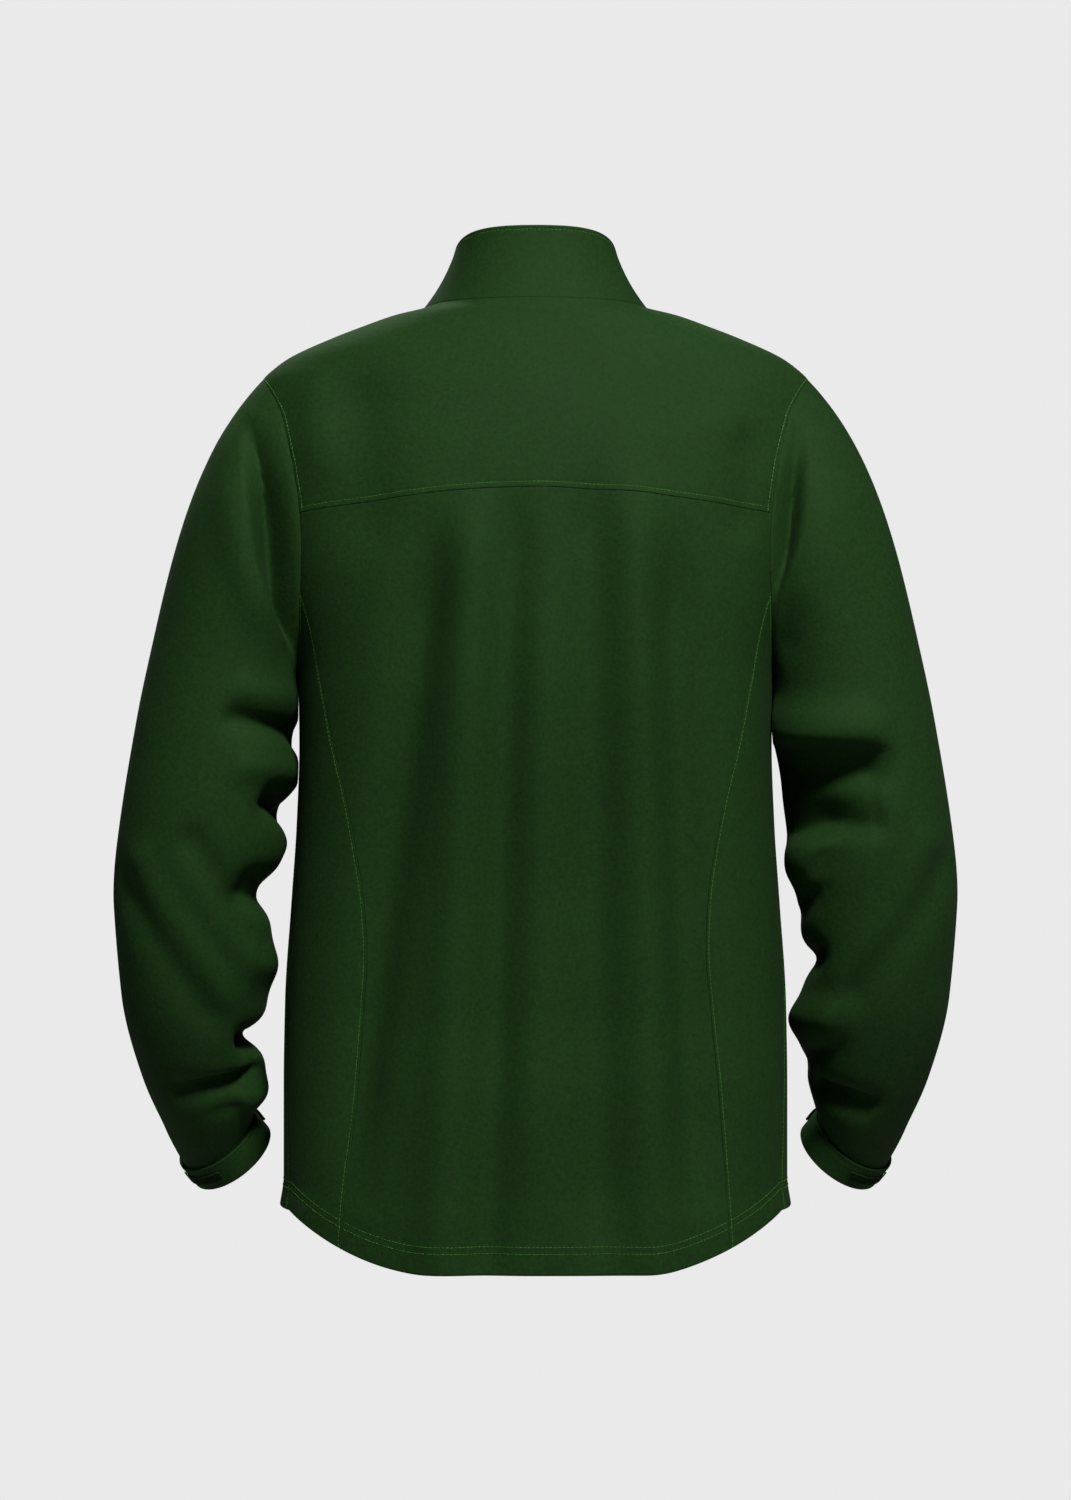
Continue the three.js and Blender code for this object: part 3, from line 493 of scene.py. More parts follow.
princess_foot = TAIL["low"] + TAIL["rise"] / 3
for _ in range(6):
    princess_foot = float(back_hem(turn_at(princess_x(princess_foot), princess_foot)))
print("Armhole from", SHOULDER_TIP, "to", UNDERARM, "and princess seam down to", round(princess_foot, 1))

# %% [markdown]
# ## From cut panels to cloth
# A panel is a grid of (turn, height) pairs inside its four sewn edges. The grid is fine near an edge,
# where the cloth rolls into the seam, and coarser between. Every panel becomes a closed wall as thick
# as the cloth, with its own unwrapped map measured in metres, which a woven finish follows.

# %% Points along an edge, close together near its sewn ends
CLOTH = 1.6
PITCH = 3.2
NEAR_EDGE = np.array([0, 0.25, 0.6, 1.0, 1.5, 2.1, 2.8, 3.6, 4.6, 6.0, 8.0])


def stops(length, near_start=True, near_end=True, pitch=PITCH):
    """Shares from 0 to 1 along a length in millimetres."""
    head = NEAR_EDGE if near_start else NEAR_EDGE[:1]
    tail = length - NEAR_EDGE[::-1] if near_end else np.array([length])
    count = max(2, round((tail[0] - head[-1]) / pitch) + 1)
    return np.concatenate([head, np.linspace(head[-1], tail[0], count)[1:-1], tail]) / length


def walk(line, near_start=True, near_end=True, surface=trunk, shares=None):
    """Points of a line (a function of 0 to 1) at real distances along the surface."""
    t = np.linspace(0, 1, 600)
    places = line(t)
    spots = surface(places[:, 0], places[:, 1])
    run = run_along(spots)
    shares = stops(run[-1], near_start, near_end) if shares is None else shares
    return line(np.interp(shares * run[-1], run, t))


def level(turn_from, turn_to, height):
    """A line round the trunk whose height is a function of its turn."""
    def line(t):
        turn = lerp(turn_from, turn_to, t)
        return np.stack([turn, height(turn) * np.ones_like(turn)], -1)
    return line


def upright(z_from, z_to, turn):
    """A line down the trunk whose turn is a function of its height."""
    def line(t):
        z = lerp(z_from, z_to, t)
        return np.stack([turn(z) * np.ones_like(z), z], -1)
    return line


def round_armhole(way_from, way_to):
    return lambda t: armhole(lerp(way_from, way_to, t))


def joined(*parts):
    """Lines one after another, with each shared corner once."""
    return np.concatenate([part[:-1] for part in parts[:-1]] + [parts[-1]])


def mirrored(line):
    return line * (-1, 1)


def patch(top, bottom, left, right):
    """A grid of (turn, height) pairs inside four edges that share their corners."""
    run = run_along(top)
    u = (run / run[-1])[None, :, None]
    v = ((left[:, 1] - left[0, 1]) / (left[-1, 1] - left[0, 1]))[:, None, None]
    sides = lerp(left[:, None], right[:, None], u) + lerp(top[None], bottom[None], v)
    return sides - lerp(lerp(top[0], top[-1], u), lerp(bottom[0], bottom[-1], u), v)


# %% How cloth lies near an edge
ROLL = 0.7  # how far a sewn edge turns down into its seam
ALLOWANCE = 0.12  # how much the seam allowance under it lifts the cloth
STITCH_DIP = 0.3


def from_edge(points, side):
    """Distance of every grid point from one edge, measured along the grid."""
    axis = 1 if side in ("left", "right") else 0
    far = side in ("right", "bottom")
    run = run_along(np.flip(points, axis) if far else points, axis)
    return np.flip(run, axis) if far else run


def rounded(distance, thick):
    """How far a free folded edge rounds off on each side."""
    half = thick / 2
    t = np.clip(distance / half, 0, 1)
    return -half * (1 - np.sqrt(np.maximum(0, 1 - (1 - t) ** 2)))


def sewn(distance, row=None):
    """Height of the cloth beside a sewn edge, with or without a row of topstitching."""
    height = rounded(distance, 2 * ROLL)
    if row is None:
        return height
    height += ALLOWANCE * ease((row - distance) / 1.2 + 0.5)
    return height - STITCH_DIP * hump(distance - row, 0.75)


def shown(mesh, sharp):
    """A smoothly shaded object of a mesh, with its name. Edges sharper than the angle stay sharp."""
    mesh.shade_smooth()
    mesh.set_sharp_from_angle(angle=math.radians(sharp))
    piece = bpy.data.objects.new(mesh.name, mesh)
    scene.collection.objects.link(piece)
    return piece


def finished(name, finish, body="jacket", replaces=()):
    """Gives a piece its finish, ties it to its body and hides the CAD nodes that it replaces."""
    piece = bpy.data.objects[name]
    piece.data.materials.clear()
    piece.data.materials.append(finish)
    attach(piece, body)
    if replaces:
        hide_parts(*replaces)


def spread_out(points, closed):
    """The unwrapped place of each grid point, in metres."""
    wide = np.concatenate([points, points[:, :1]], 1) if closed else points
    across = run_along(wide, 1)
    return np.stack([across - across[:, -1:] / 2, -run_along(wide)], -1) * MM


def cloth_wall(name, outer, inner, closed=False):
    """A closed mesh between an outer and an inner grid, rows down and columns anticlockwise."""
    rows, cols = outer.shape[:2]
    wide = cols + 1 if closed else cols
    spot = np.arange(rows * wide).reshape(rows, wide)
    under = spot + rows * wide
    a, b, c, d = spot[:-1, :-1], spot[1:, :-1], spot[1:, 1:], spot[:-1, 1:]
    e, f, g, h = under[:-1, :-1], under[1:, :-1], under[1:, 1:], under[:-1, 1:]
    quads = [(a, b, c, d), (e, h, g, f)]
    quads += [(a[:1], d[:1], h[:1], e[:1]), (c[-1:], b[-1:], f[-1:], g[-1:])]
    if not closed:
        quads += [tuple(x[:, :1] for x in (b, a, e, f)), tuple(x[:, -1:] for x in (d, c, g, h))]
    corners = np.concatenate([np.stack([x.ravel() for x in q], -1) for q in quads])
    side, row, col = corners // (rows * wide), corners % (rows * wide) // wide, corners % wide
    vertex = side * rows * cols + row * cols + col % cols
    mesh = bpy.data.meshes.new(name)
    points = np.concatenate([outer.reshape(-1, 3), inner.reshape(-1, 3)]) * MM
    mesh.from_pydata(points.tolist(), [], vertex.tolist())
    unwrapped = spread_out(outer, closed)[row, col]
    mesh.uv_layers.new(name="UVMap").uv.foreach_set("vector", unwrapped.reshape(-1, 2).ravel())
    print(f"{name}: {len(mesh.polygons)} faces")
    return shown(mesh, sharp=52)


rows_of_thread = {}


def row_beside(points, normals, distance, side, row):
    """The path at a distance from one edge of a grid, as points and outward directions."""
    if side in ("top", "bottom"):
        points, normals, distance = (np.swapaxes(p, 0, 1) for p in (points, normals, distance))
    if side in ("right", "bottom"):
        points, normals, distance = (np.flip(p, 1) for p in (points, normals, distance))
    line = np.arange(len(points))
    after = np.clip((distance < row).sum(1), 1, distance.shape[1] - 1)
    near, far = distance[line, after - 1], distance[line, after]
    t = ((row - near) / np.maximum(far - near, 1e-9))[:, None]
    path = lerp(points[line, after - 1], points[line, after], t)
    return path, unit(lerp(normals[line, after - 1], normals[line, after], t))


def panel(
    part, grid, sewn_edges, hem=None, surface=trunk, steps=(0.5, 1.0), flip=False, closed=False,
    thick=CLOTH, finish=softshell, slot="softshell",
):
    """
    Cloth that dresses a part, over a grid of surface places. sewn_edges gives each edge its topstitch
    distance or None. With flip it is laid over to the wearer's right.
    """
    name = f"{part}_cloth"
    points = surface(grid[..., 0], grid[..., 1])
    normals = outward(surface, grid[..., 0], grid[..., 1], *steps)
    height = np.zeros(points.shape[:2])
    depth = np.full(points.shape[:2], thick)
    rows = []
    for side, row in sewn_edges.items():
        distance = from_edge(points, side)
        height += sewn(distance, row)
        if row:
            rows.append((distance, side, row))
    if hem:
        hem_height, hem_depth, hem_rows = hem(points)
        height, depth = height + hem_height, depth + hem_depth
        rows += hem_rows
    outer = points + normals * height[..., None]
    inner = points - normals * depth[..., None]
    threads = [row_beside(outer, normals, *row) for row in rows]
    if flip:
        outer, inner = (np.flip(p * (-1, 1, 1), 1) for p in (outer, inner))
        threads = [(path * (-1, 1, 1), out * (-1, 1, 1)) for path, out in threads]
    if threads:
        rows_of_thread[name] = threads
    wide = np.concatenate([points, points[:, :1]], 1) if closed else points
    across = np.linalg.norm(np.diff(wide, axis=1), axis=-1)
    down = np.linalg.norm(np.diff(wide, axis=0), axis=-1)
    cloth_wall(name, outer, inner, closed)
    finished(name, finish, replaces=[part])


# %% A turned-up hem with two rows of stitching
HEM_ROWS = (16, 21)
HEM_FOLD = {"high": 23.5, "thick": 1.3}


def turned_hem(points):
    """Height and extra depth of the cloth near a bottom edge that is turned up and stitched twice."""
    above = points[..., 2] - points[-1:, :, 2]
    near = from_edge(points, "bottom")
    fold = ease((HEM_FOLD["high"] - above) / 2)
    thick = CLOTH + HEM_FOLD["thick"]
    dips = sum(hump(above - row, 0.8) for row in HEM_ROWS)
    height = rounded(near, thick) - 0.45 * dips + 0.25 * fold
    depth = HEM_FOLD["thick"] * fold + rounded(near, thick)
    return height, depth, [(above, "bottom", row) for row in HEM_ROWS]


# %% [markdown]
# ## The back: yoke, panel and side panels
# The yoke and the panel meet in a curved seam that is topstitched on the yoke. The side panels are
# topstitched along the princess seams. Their lower edges are turned up together in one dropped hem.

# %% The back yoke
ROW_YOKE, ROW_ARMHOLE, ROW_PRINCESS = 4.0, 2.8, 2.4
columns_across = stops(470)
shoulder = upright(float(neck_seam(90)), SHOULDER_TIP, lambda z: 90.0)
yoke_side = joined(walk(shoulder, True, False), walk(round_armhole(0, YOKE_WAY), False, True))
yoke_top = walk(level(90, -90, neck_seam), shares=columns_across)
yoke_foot = walk(level(YOKE_END, -YOKE_END, yoke_seam), shares=columns_across)
yoke_grid = patch(yoke_top, yoke_foot, yoke_side, mirrored(yoke_side))
yoke_edges = {"top": None, "bottom": ROW_YOKE, "left": ROW_ARMHOLE, "right": ROW_ARMHOLE}
panel("back_yoke", yoke_grid, yoke_edges)

# %% The back panel
princess_start = armhole(PRINCESS_WAY)


def princess_seam(z):
    return turn_at(princess_x(z), z)


princess_line = upright(float(princess_start[1]), princess_foot, princess_seam)
princess_turns = walk(princess_line, False, True)
princess_turns[0] = princess_start
back_edge = joined(walk(round_armhole(YOKE_WAY, PRINCESS_WAY), True, False), princess_turns)
foot_turn = float(princess_seam(princess_foot))
back_top = walk(level(YOKE_END, -YOKE_END, yoke_seam), shares=columns_across)
back_foot = walk(level(foot_turn, -foot_turn, back_hem), shares=columns_across)
back_grid = patch(back_top, back_foot, back_edge, mirrored(back_edge))
panel("back_panel", back_grid, {"top": None, "left": None, "right": None}, hem=turned_hem)

# %% The back side panels
side_shares = stops(460)
side_top_shares = stops(70)
side_top = walk(lambda t: armhole(lerp(180, PRINCESS_WAY, t)), shares=side_top_shares)
side_foot = walk(level(SIDE_SEAM["bottom"], foot_turn, back_hem), shares=side_top_shares)
side_line = walk(upright(UNDERARM, FRONT_HEM, side_seam), shares=side_shares)
princess_side = walk(princess_line, shares=side_shares)
princess_side[0], side_line[-1] = princess_start, side_foot[0]
side_grid = patch(side_top, side_foot, side_line, princess_side)
side_edges = {"top": ROW_ARMHOLE, "left": None, "right": ROW_PRINCESS}
for hand, flip in HANDS:
    panel(f"back_side_{hand}", side_grid, side_edges, turned_hem, TRUNK_OF[hand], flip=flip)

# %% [markdown]
# ## The fronts
# The fronts are plain: from the shoulder seam and the side seam to the zip, with a level turned-up
# hem that ends a little above the dropped back. Each has one row of stitching beside the zip.

# %% The fronts
ROW_ZIP = 6.0
front_side = joined(
    walk(shoulder, True, False),
    walk(round_armhole(360, 180), False, False),
    walk(upright(UNDERARM, FRONT_HEM, side_seam), False, True),
)
front_share = (front_side[:, 1] - front_side[0, 1]) / (FRONT_HEM - front_side[0, 1])
head_of_front = float(neck_seam(front_edge(neck_seam(180))))
centre_heights = lerp(head_of_front, FRONT_HEM, front_share)
front_centre = np.stack([front_edge(centre_heights), centre_heights], -1)
front_columns = stops(225)
front_top = walk(level(front_centre[0, 0], 90, neck_seam), shares=front_columns)
hem_from = float(front_edge(FRONT_HEM))
front_foot = walk(level(hem_from, SIDE_SEAM["bottom"], lambda turn: FRONT_HEM), shares=front_columns)
front_grid = patch(front_top, front_foot, front_centre, front_side)
front_edges = {"top": None, "left": ROW_ZIP, "right": ROW_ARMHOLE}
for hand, flip in HANDS:
    panel(f"front_{hand}", front_grid, front_edges, turned_hem, TRUNK_OF[hand], flip=flip)

# %% [markdown]
# ## The collar
# One band of cloth stands on the neck seam, bows in slightly half way up and ends in a rounded top
# edge with a row of stitching just below it.

# %% The collar
COLLAR_TOP = {"half_width": 61.5, "back": 60, "front": 73, "high": 54, "drop": 62, "sharpness": 1.95}
COLLAR_HOLLOW = 2
ROW_COLLAR = 3.5
NECK_FRONT = float(neck_seam(180))


def collar_top(turn):
    s, c = np.sin(radians(turn)), np.cos(radians(turn))
    depth = np.where(c > 0, COLLAR_TOP["back"], COLLAR_TOP["front"])
    r = 1 / np.hypot(s / COLLAR_TOP["half_width"], c / depth)
    z = COLLAR_TOP["high"] - COLLAR_TOP["drop"] * ((1 - c) / 2) ** COLLAR_TOP["sharpness"]
    return np.stack([r * s, r * c, z], -1)


def collar_point(turn, up):
    turn, up = matched(turn, up)
    p = lerp(plain_trunk(turn, neck_seam(turn)), collar_top(turn), up[..., None])
    flat = unit(p * (1, 1, 0))
    return p - flat * (4 * COLLAR_HOLLOW * up * (1 - up))[..., None]


def top_edge(points):
    """The rounded upper edge of the collar, with its row of stitching."""
    near = from_edge(points, "top")
    height = rounded(near, CLOTH + 0.6) - 0.4 * hump(near - ROW_COLLAR, 0.8) + 0.2 * ease((6 - near) / 3)
    return height, rounded(near, CLOTH), [(near, "top", ROW_COLLAR)]


collar_edge = float(front_edge(NECK_FRONT))
collar_turns = walk(
    lambda t: np.stack([lerp(collar_edge, -collar_edge, t), np.full_like(t, 0.5)], -1), surface=collar_point
)[:, 0]
collar_ups = 1 - stops(58)
collar_grid = np.stack(np.meshgrid(collar_turns, collar_ups), -1)
collar_edges = {"bottom": None, "left": ROW_ZIP, "right": ROW_ZIP}
panel("collar", collar_grid, collar_edges, top_edge, collar_point, steps=(1, 0.02))

# %% [markdown]
# ## The sleeves
# A sleeve is a tube from the armhole to the cuff, set in with a cap that springs away from the seam.
# Tables place its folds: broad ones shared with the frame, then the sharper creases that
# cloth makes at the elbow and above the cuff. A crease is steeper on one flank than on the other.

# %% The sleeve's rings and folds
# The way each side of the cap sets off: turn, out, back, down.
CAP = (
    (0, 0.69, 0, 0.72), (90, 0.8, 0.25, 0.5), (180, 0.05, 0, 1), (270, 0.8, -0.3, 0.5),
    (360, 0.69, 0, 0.72),
)
# Ring number, middle (x, y, z), half width, half depth, tilt outwards, lean backwards.
SLEEVE = (
    (0, 238, 3, -291, 63, 69, -27, -3), (1, 245, 6, -340, 64, 68, -18, -2),
    (2, 254, 8, -400, 64, 66, -8, 2), (3, 262, 6, -460, 61, 63, 2, 7), (4, 262, -3, -520, 57, 58, 10, 13),
    (5, 255.8, -20, -575, 51.5, 51, 20, 19), (6, 249.5, -38, -614, 44, 43, 30, 24),
    (7, 248.5, -52, -644, 33.2, 33.2, 36, 26), (8, 245.8, -54.2, -647.6, 33.2, 33.2, 36, 26),
)
# Each fold runs from (turn, z) to (turn, z): half width, depth out (+) or in (-).
FOLDS = {
    "left": (
        (72, -130, 140, -262, 16, -9), (62, -150, 110, -225, 20, 4), (110, -296, 170, -306, 12, 4),
        (106, -318, 190, -336, 10, -6), (120, -354, 185, -360, 12, 5), (145, -380, 200, -394, 11, -13),
        (205, -414, 245, -410, 15, 5), (88, -411, 150, -492, 12, -5), (140, -446, 208, -455, 14, -13),
        (150, -500, 205, -514, 17, 8), (35, -442, 100, -541, 13, -4), (52, -426, 118, -526, 13, 4),
        (135, -567, 212, -557, 12, -17), (60, -603, 150, -585, 9, -6), (120, -612, 200, -600, 10, 6),
        (260, -372, 330, -398, 13, -7), (250, -432, 320, -470, 15, 6), (230, -520, 310, -560, 13, -7),
        (220, -130, 280, -250, 18, -5),
    ),
    "right": (
        (72, -125, 136, -252, 15, -9), (60, -145, 108, -215, 20, 4), (85, -324, 175, -318, 15, 7),
        (88, -356, 175, -364, 15, -13), (150, -430, 205, -436, 15, 5), (150, -498, 205, -506, 12, -9),
        (35, -430, 105, -525, 14, -4), (55, -414, 120, -510, 14, 4), (130, -545, 208, -552, 18, 12),
        (78, -614, 142, -598, 9, -7), (255, -360, 325, -380, 14, -8), (250, -440, 320, -482, 15, 6),
        (228, -525, 305, -565, 13, -7), (220, -130, 280, -245, 18, -5),
    ),
}
# Each crease runs from (turn, z) to (turn, z): half width above, half width below, depth.
CREASES = {
    "left": (
        (104, -316, 182, -330, 5, 14, -4.5), (118, -329, 172, -341, 6, 8, 2),
        (134, -384, 190, -391, 4, 15, -5), (62, -430, 124, -520, 16, 20, -5),
        (124, -452, 184, -459, 5, 14, -5), (132, -566, 184, -562, 5, 14, -5),
        (60, -602, 154, -588, 3.5, 12, -7), (88, -592, 154, -580, 7, 5, 3),
        (78, -622, 124, -612, 4, 6, -2), (268, -376, 322, -394, 4, 11, -3.5),
        (236, -523, 300, -553, 4, 11, -3.5),
    ),
    "right": (
        (76, -343, 176, -342, 3, 24, -7), (90, -396, 184, -402, 30, 10, -25),
        (80, -334, 172, -331, 8, 5, 4), (104, -404, 150, -440, 7, 14, -5),
        (136, -446, 186, -466, 4, 13, -5), (144, -494, 188, -500, 4, 12, -4.5),
        (120, -566, 180, -582, 5, 13, -5), (58, -416, 124, -506, 16, 20, -5),
        (76, -612, 148, -598, 3.5, 12, -7), (262, -364, 318, -376, 4, 11, -3.5),
        (234, -528, 298, -558, 4, 11, -3.5),
    ),
}
# The cloth sinks in a pleat between the armhole seam and a rolled edge at the back of each sleeve.
# Height, distance of the rolled edge from the middle, depth of the pleat.
PLEATS = {
    "left": (
        (-88, 224, 0), (-118, 220, 13), (-160, 214, 21), (-196, 209, 22), (-231, 198, 19),
        (-266, 183, 12), (-292, 171, 0),
    ),
    "right": (
        (-90, 207, 0), (-118, 203, 9), (-162, 200, 13), (-190, 195, 13), (-218, 185, 11), (-250, 171, 7),
        (-275, 160, 0),
    ),
}
# Share of the cap from the seam to the pleat's full depth, and the width of its outer flank.
PLEAT_FORM = {"left": (0.25, 9), "right": (0.13, 13)}
PLEAT_SUNK, PLEAT_PROUD = 1.15, 0.15  # shares of its depth inside its edge and just past it
PLEAT_PAST, PLEAT_PAST_WIDTH = 12, 14  # millimetres from its edge to that rise, and the rise's width
CREASE_END = 9  # millimetres over which a crease runs out
UNDER_SEAM = {"deep": 0.9, "width": 0.8}
FOLD_STARTS, FOLDS_STOP, FOLDS_FADE = 0.5, 7.1, 0.6  # in rings down the sleeve
ROUND_STEP = 1.05  # millimetres round the sleeve for each degree
SLEEVE_CLEAR = 1.2
ring_columns = columns(SLEEVE)
cap_columns = columns(CAP)


# %% The sleeve's surface
def on_ring(values, turn):
    x, y, z, w, d, tilt, lean = values
    tilt, lean, nothing = radians(tilt), radians(lean), np.zeros_like(tilt * 1.0)
    out = np.stack([np.cos(tilt), nothing, -np.sin(tilt)], -1)
    down = np.stack([-np.sin(tilt), nothing, -np.cos(tilt)], -1)
    back = np.stack([nothing, np.cos(lean), nothing], -1) + down * np.sin(lean)[..., None]
    middle = np.stack([x, y, z], -1)
    s, c = np.sin(radians(turn)), np.cos(radians(turn))
    return middle + out * (w * c)[..., None] + back * (d * s)[..., None]


def sleeve_ring(at):
    return [column(at) for column in ring_columns]


def plain_sleeve(turn, down):
    """A point on the unfolded sleeve. down: -1 at the armhole, 0 to 8 on the sleeve's rings."""
    turn, down = matched(turn, down)
    below = on_ring(sleeve_ring(np.maximum(down, 0)), turn)
    way = turn % 360
    places = armhole(way)
    start = trunk(places[..., 0], places[..., 1])
    end = on_ring(sleeve_ring(np.zeros_like(turn)), turn)
    length = np.linalg.norm(end - start, axis=-1, keepdims=True)
    leave = unit(np.stack([column(way) for column in cap_columns], -1) * (1, 1, -1)) * length
    arrive = unit(on_ring(sleeve_ring(np.full_like(turn, 0.1)), turn) - end) * length
    t = np.minimum(down + 1, 1)[..., None]
    return np.where((down > 0)[..., None], below, eased_path(t, start, leave, arrive, end))


def along_fold(turn, z, turn1, z1, turn2, z2):
    """Where a place is beside a fold's line, along and across it, and how long the line is."""
    dx, dz, middle = (turn2 - turn1) * ROUND_STEP, z2 - z1, (turn1 + turn2) / 2
    px = ((turn - middle + 180) % 360 - 180 + middle - turn1) * ROUND_STEP
    length = math.hypot(dx, dz)
    return (px * dx + (z - z1) * dz) / length, ((z - z1) * dx - px * dz) / length, length


def fold_depth(folds, turn, z):
    """Depth of the broad folds at a place on the sleeve."""
    depth = np.zeros_like(z)
    for *line, half, deep in folds:
        run, across, length = along_fold(turn, z, *line)
        beyond = run - np.clip(run, 0, length)
        depth += deep * np.exp(-(across**2 + beyond**2) / half**2)
    return depth


def crease_depth(creases, turn, z):
    """Depth of the sharp creases, which are deepest in the middle and run out to a point."""
    depth = np.zeros_like(z)
    for *line, above, below, deep in creases:
        run, across, length = along_fold(turn, z, *line)
        share = np.clip(run / length, 0, 1)
        point = hump(run - np.clip(run, 0, length), CREASE_END) * (0.35 + 0.65 * np.sin(np.pi * share))
        depth += deep * point * hump(across, np.where(across > 0, above, below))
    return depth


def pleat_depth(curves, p, normal, flank):
    """Depth of the pleat at a place: sunk on the seam's side of its edge, slightly proud beyond it."""
    edge, deep = (curve(p[..., 2]) for curve in curves)
    inside = edge - p[..., 0]
    facing_back = ease((normal[..., 1] - 0.05) / 0.3)
    proud = PLEAT_PROUD * hump(inside + PLEAT_PAST, PLEAT_PAST_WIDTH)
    return deep * facing_back * (proud - PLEAT_SUNK * ease(inside / flank + 0.25))


def clear_of_trunk(p, clearance):
    """The point, moved straight out where it would lie too near the trunk below the armhole's middle."""
    surface = trunk(np.degrees(np.arctan2(p[..., 0], p[..., 1])), p[..., 2])
    here = np.hypot(p[..., 0], p[..., 1])
    least = np.hypot(surface[..., 0], surface[..., 1]) + clearance
    scale = np.where(p[..., 2] > ARMHOLE["middle"], 1, np.maximum(1, least / here))
    return p * np.stack([scale, scale, np.ones_like(scale)], -1)


def sleeve_surface(hand):
    """The folded sleeve of one side, as the wearer's left."""
    pleat = columns(PLEATS[hand])
    run, flank = PLEAT_FORM[hand]

    def surface(turn, down):
        turn, down = matched(turn, down)
        p = plain_sleeve(turn, down)
        starting = ease((down + 1) / FOLD_STARTS)
        fading = starting * ease((FOLDS_STOP - down) / FOLDS_FADE)
        depth = fold_depth(FOLDS[hand], turn, p[..., 2]) + crease_depth(CREASES[hand], turn, p[..., 2])
        seam = -UNDER_SEAM["deep"] * hump((turn - 180) * ROUND_STEP, UNDER_SEAM["width"])
        normal = outward(plain_sleeve, turn, np.maximum(down, -0.98), 1, 0.02)
        depth = fading * (depth + seam) + ease((down + 1) / run) * pleat_depth(pleat, p, normal, flank)
        p = p + normal * depth[..., None]
        return clear_of_trunk(p, SLEEVE_CLEAR * starting)
    return surface


# %% The sleeves
SEAM_TURNS = 180 + np.array([-2.2, -1.3, -0.7, -0.3, 0, 0.3, 0.7, 1.3, 2.2])
plain_turns = np.arange(0, 360, 2.5)
sleeve_turns = np.sort(np.concatenate([plain_turns[np.abs(plain_turns - 180) > 3], SEAM_TURNS]))
HEAD_ROWS, SHORT_HEAD = 62, 22
head_steps = np.linspace(-1, 0, 200)
head_downs = []
for run in run_along(plain_sleeve(sleeve_turns[:, None], head_steps), 1):
    near = NEAR_EDGE * min(1, run[-1] / SHORT_HEAD)
    reach = np.concatenate([near, np.linspace(near[-1], run[-1], HEAD_ROWS)[1:]])
    head_downs.append(np.interp(reach, run, head_steps))
lower_downs = np.concatenate([np.linspace(0, 7, 128)[1:], [7.25, 7.5, 8]])
downs = np.concatenate([np.array(head_downs).T, np.repeat(lower_downs[:, None], len(sleeve_turns), 1)])
sleeve_grid = np.stack([np.broadcast_to(sleeve_turns, downs.shape), downs], -1)
SLEEVE_OF = {hand: sleeve_surface(hand) for hand in FOLDS}
for hand, flip in HANDS:
    tube = {"surface": SLEEVE_OF[hand], "steps": (1, 0.02), "closed": True}
    panel(f"sleeve_{hand}", sleeve_grid, {"top": None}, flip=flip, **tube)

# %% [markdown]
# ## The cuffs
# Each sleeve ends in a band. A strap comes round its front and closes on a looped patch that shows
# as a darker, slightly raised tab on the back.

# %% Places on the cuff
CUFF = {"x": 248.5, "y": -52, "z": -644, "radius": 36, "thick": 2.2, "height": 22, "tilt": 36, "lean": 26}
STRAP = {"from": 188, "to": 350, "height": 12, "thick": 1.8}
LOOP = {"from": 2, "to": 72, "height": 9, "thick": 1}
CUFF_GAP = 0.3
CUFF_STEP = 0.63  # millimetres round the cuff for each degree


def cuff_point(turn, down):
    """A point on the outside of the cuff. down: millimetres below its top edge."""
    turn, down = matched(turn, down)
    one = np.ones_like(turn)
    ring = [CUFF[key] * one for key in ("x", "y", "z", "radius", "radius", "tilt", "lean")]
    middle = np.array([CUFF["x"], CUFF["y"], CUFF["z"]])
    axis = unit(np.cross(on_ring(ring, 0 * one) - middle, on_ring(ring, 90 * one) - middle))
    axis = axis * -np.sign(axis[..., 2:])
    return on_ring(ring, turn) + axis * down[..., None]


def band_edges(thick):
    """A hem function that rounds both edges of a band and sinks a seam line under its top."""
    def hem(points):
        high, low = from_edge(points, "top"), from_edge(points, "bottom")
        edge = rounded(high, thick) + rounded(low, thick)
        return edge - 0.25 * hump(high - 3, 0.9), edge, []
    return hem


def lying_on_cuff(shape, soft_end):
    """A strip that lies on the cuff between two turns, with rounded corners and edges."""
    top = (CUFF["height"] - shape["height"]) / 2
    turns = lerp(shape["from"], shape["to"], stops((shape["to"] - shape["from"]) * CUFF_STEP, pitch=2.0))
    along = (turns - shape["from"]) * CUFF_STEP
    end = np.minimum(np.minimum(along, along[-1] - along) / soft_end, 1)
    half = shape["height"] / 2 * (0.45 + 0.55 * np.sqrt(np.maximum(0, 1 - (1 - end) ** 2)))
    downs = top + shape["height"] / 2 + lerp(-half, half, stops(shape["height"], pitch=1.6)[:, None])
    grid = np.stack([np.broadcast_to(turns, downs.shape), downs], -1)
    thick = shape["thick"]

    def lifted(turn, down):
        p = cuff_point(turn, down)
        return p + outward(cuff_point, turn, down, 1, 1) * (CUFF_GAP + thick)

    def edges(points):
        near = sum(rounded(from_edge(points, side), thick) for side in ("top", "bottom", "left", "right"))
        near = np.maximum(near, -thick / 2)
        return near, near, []

    return {"grid": grid, "surface": lifted, "hem": edges, "thick": thick}


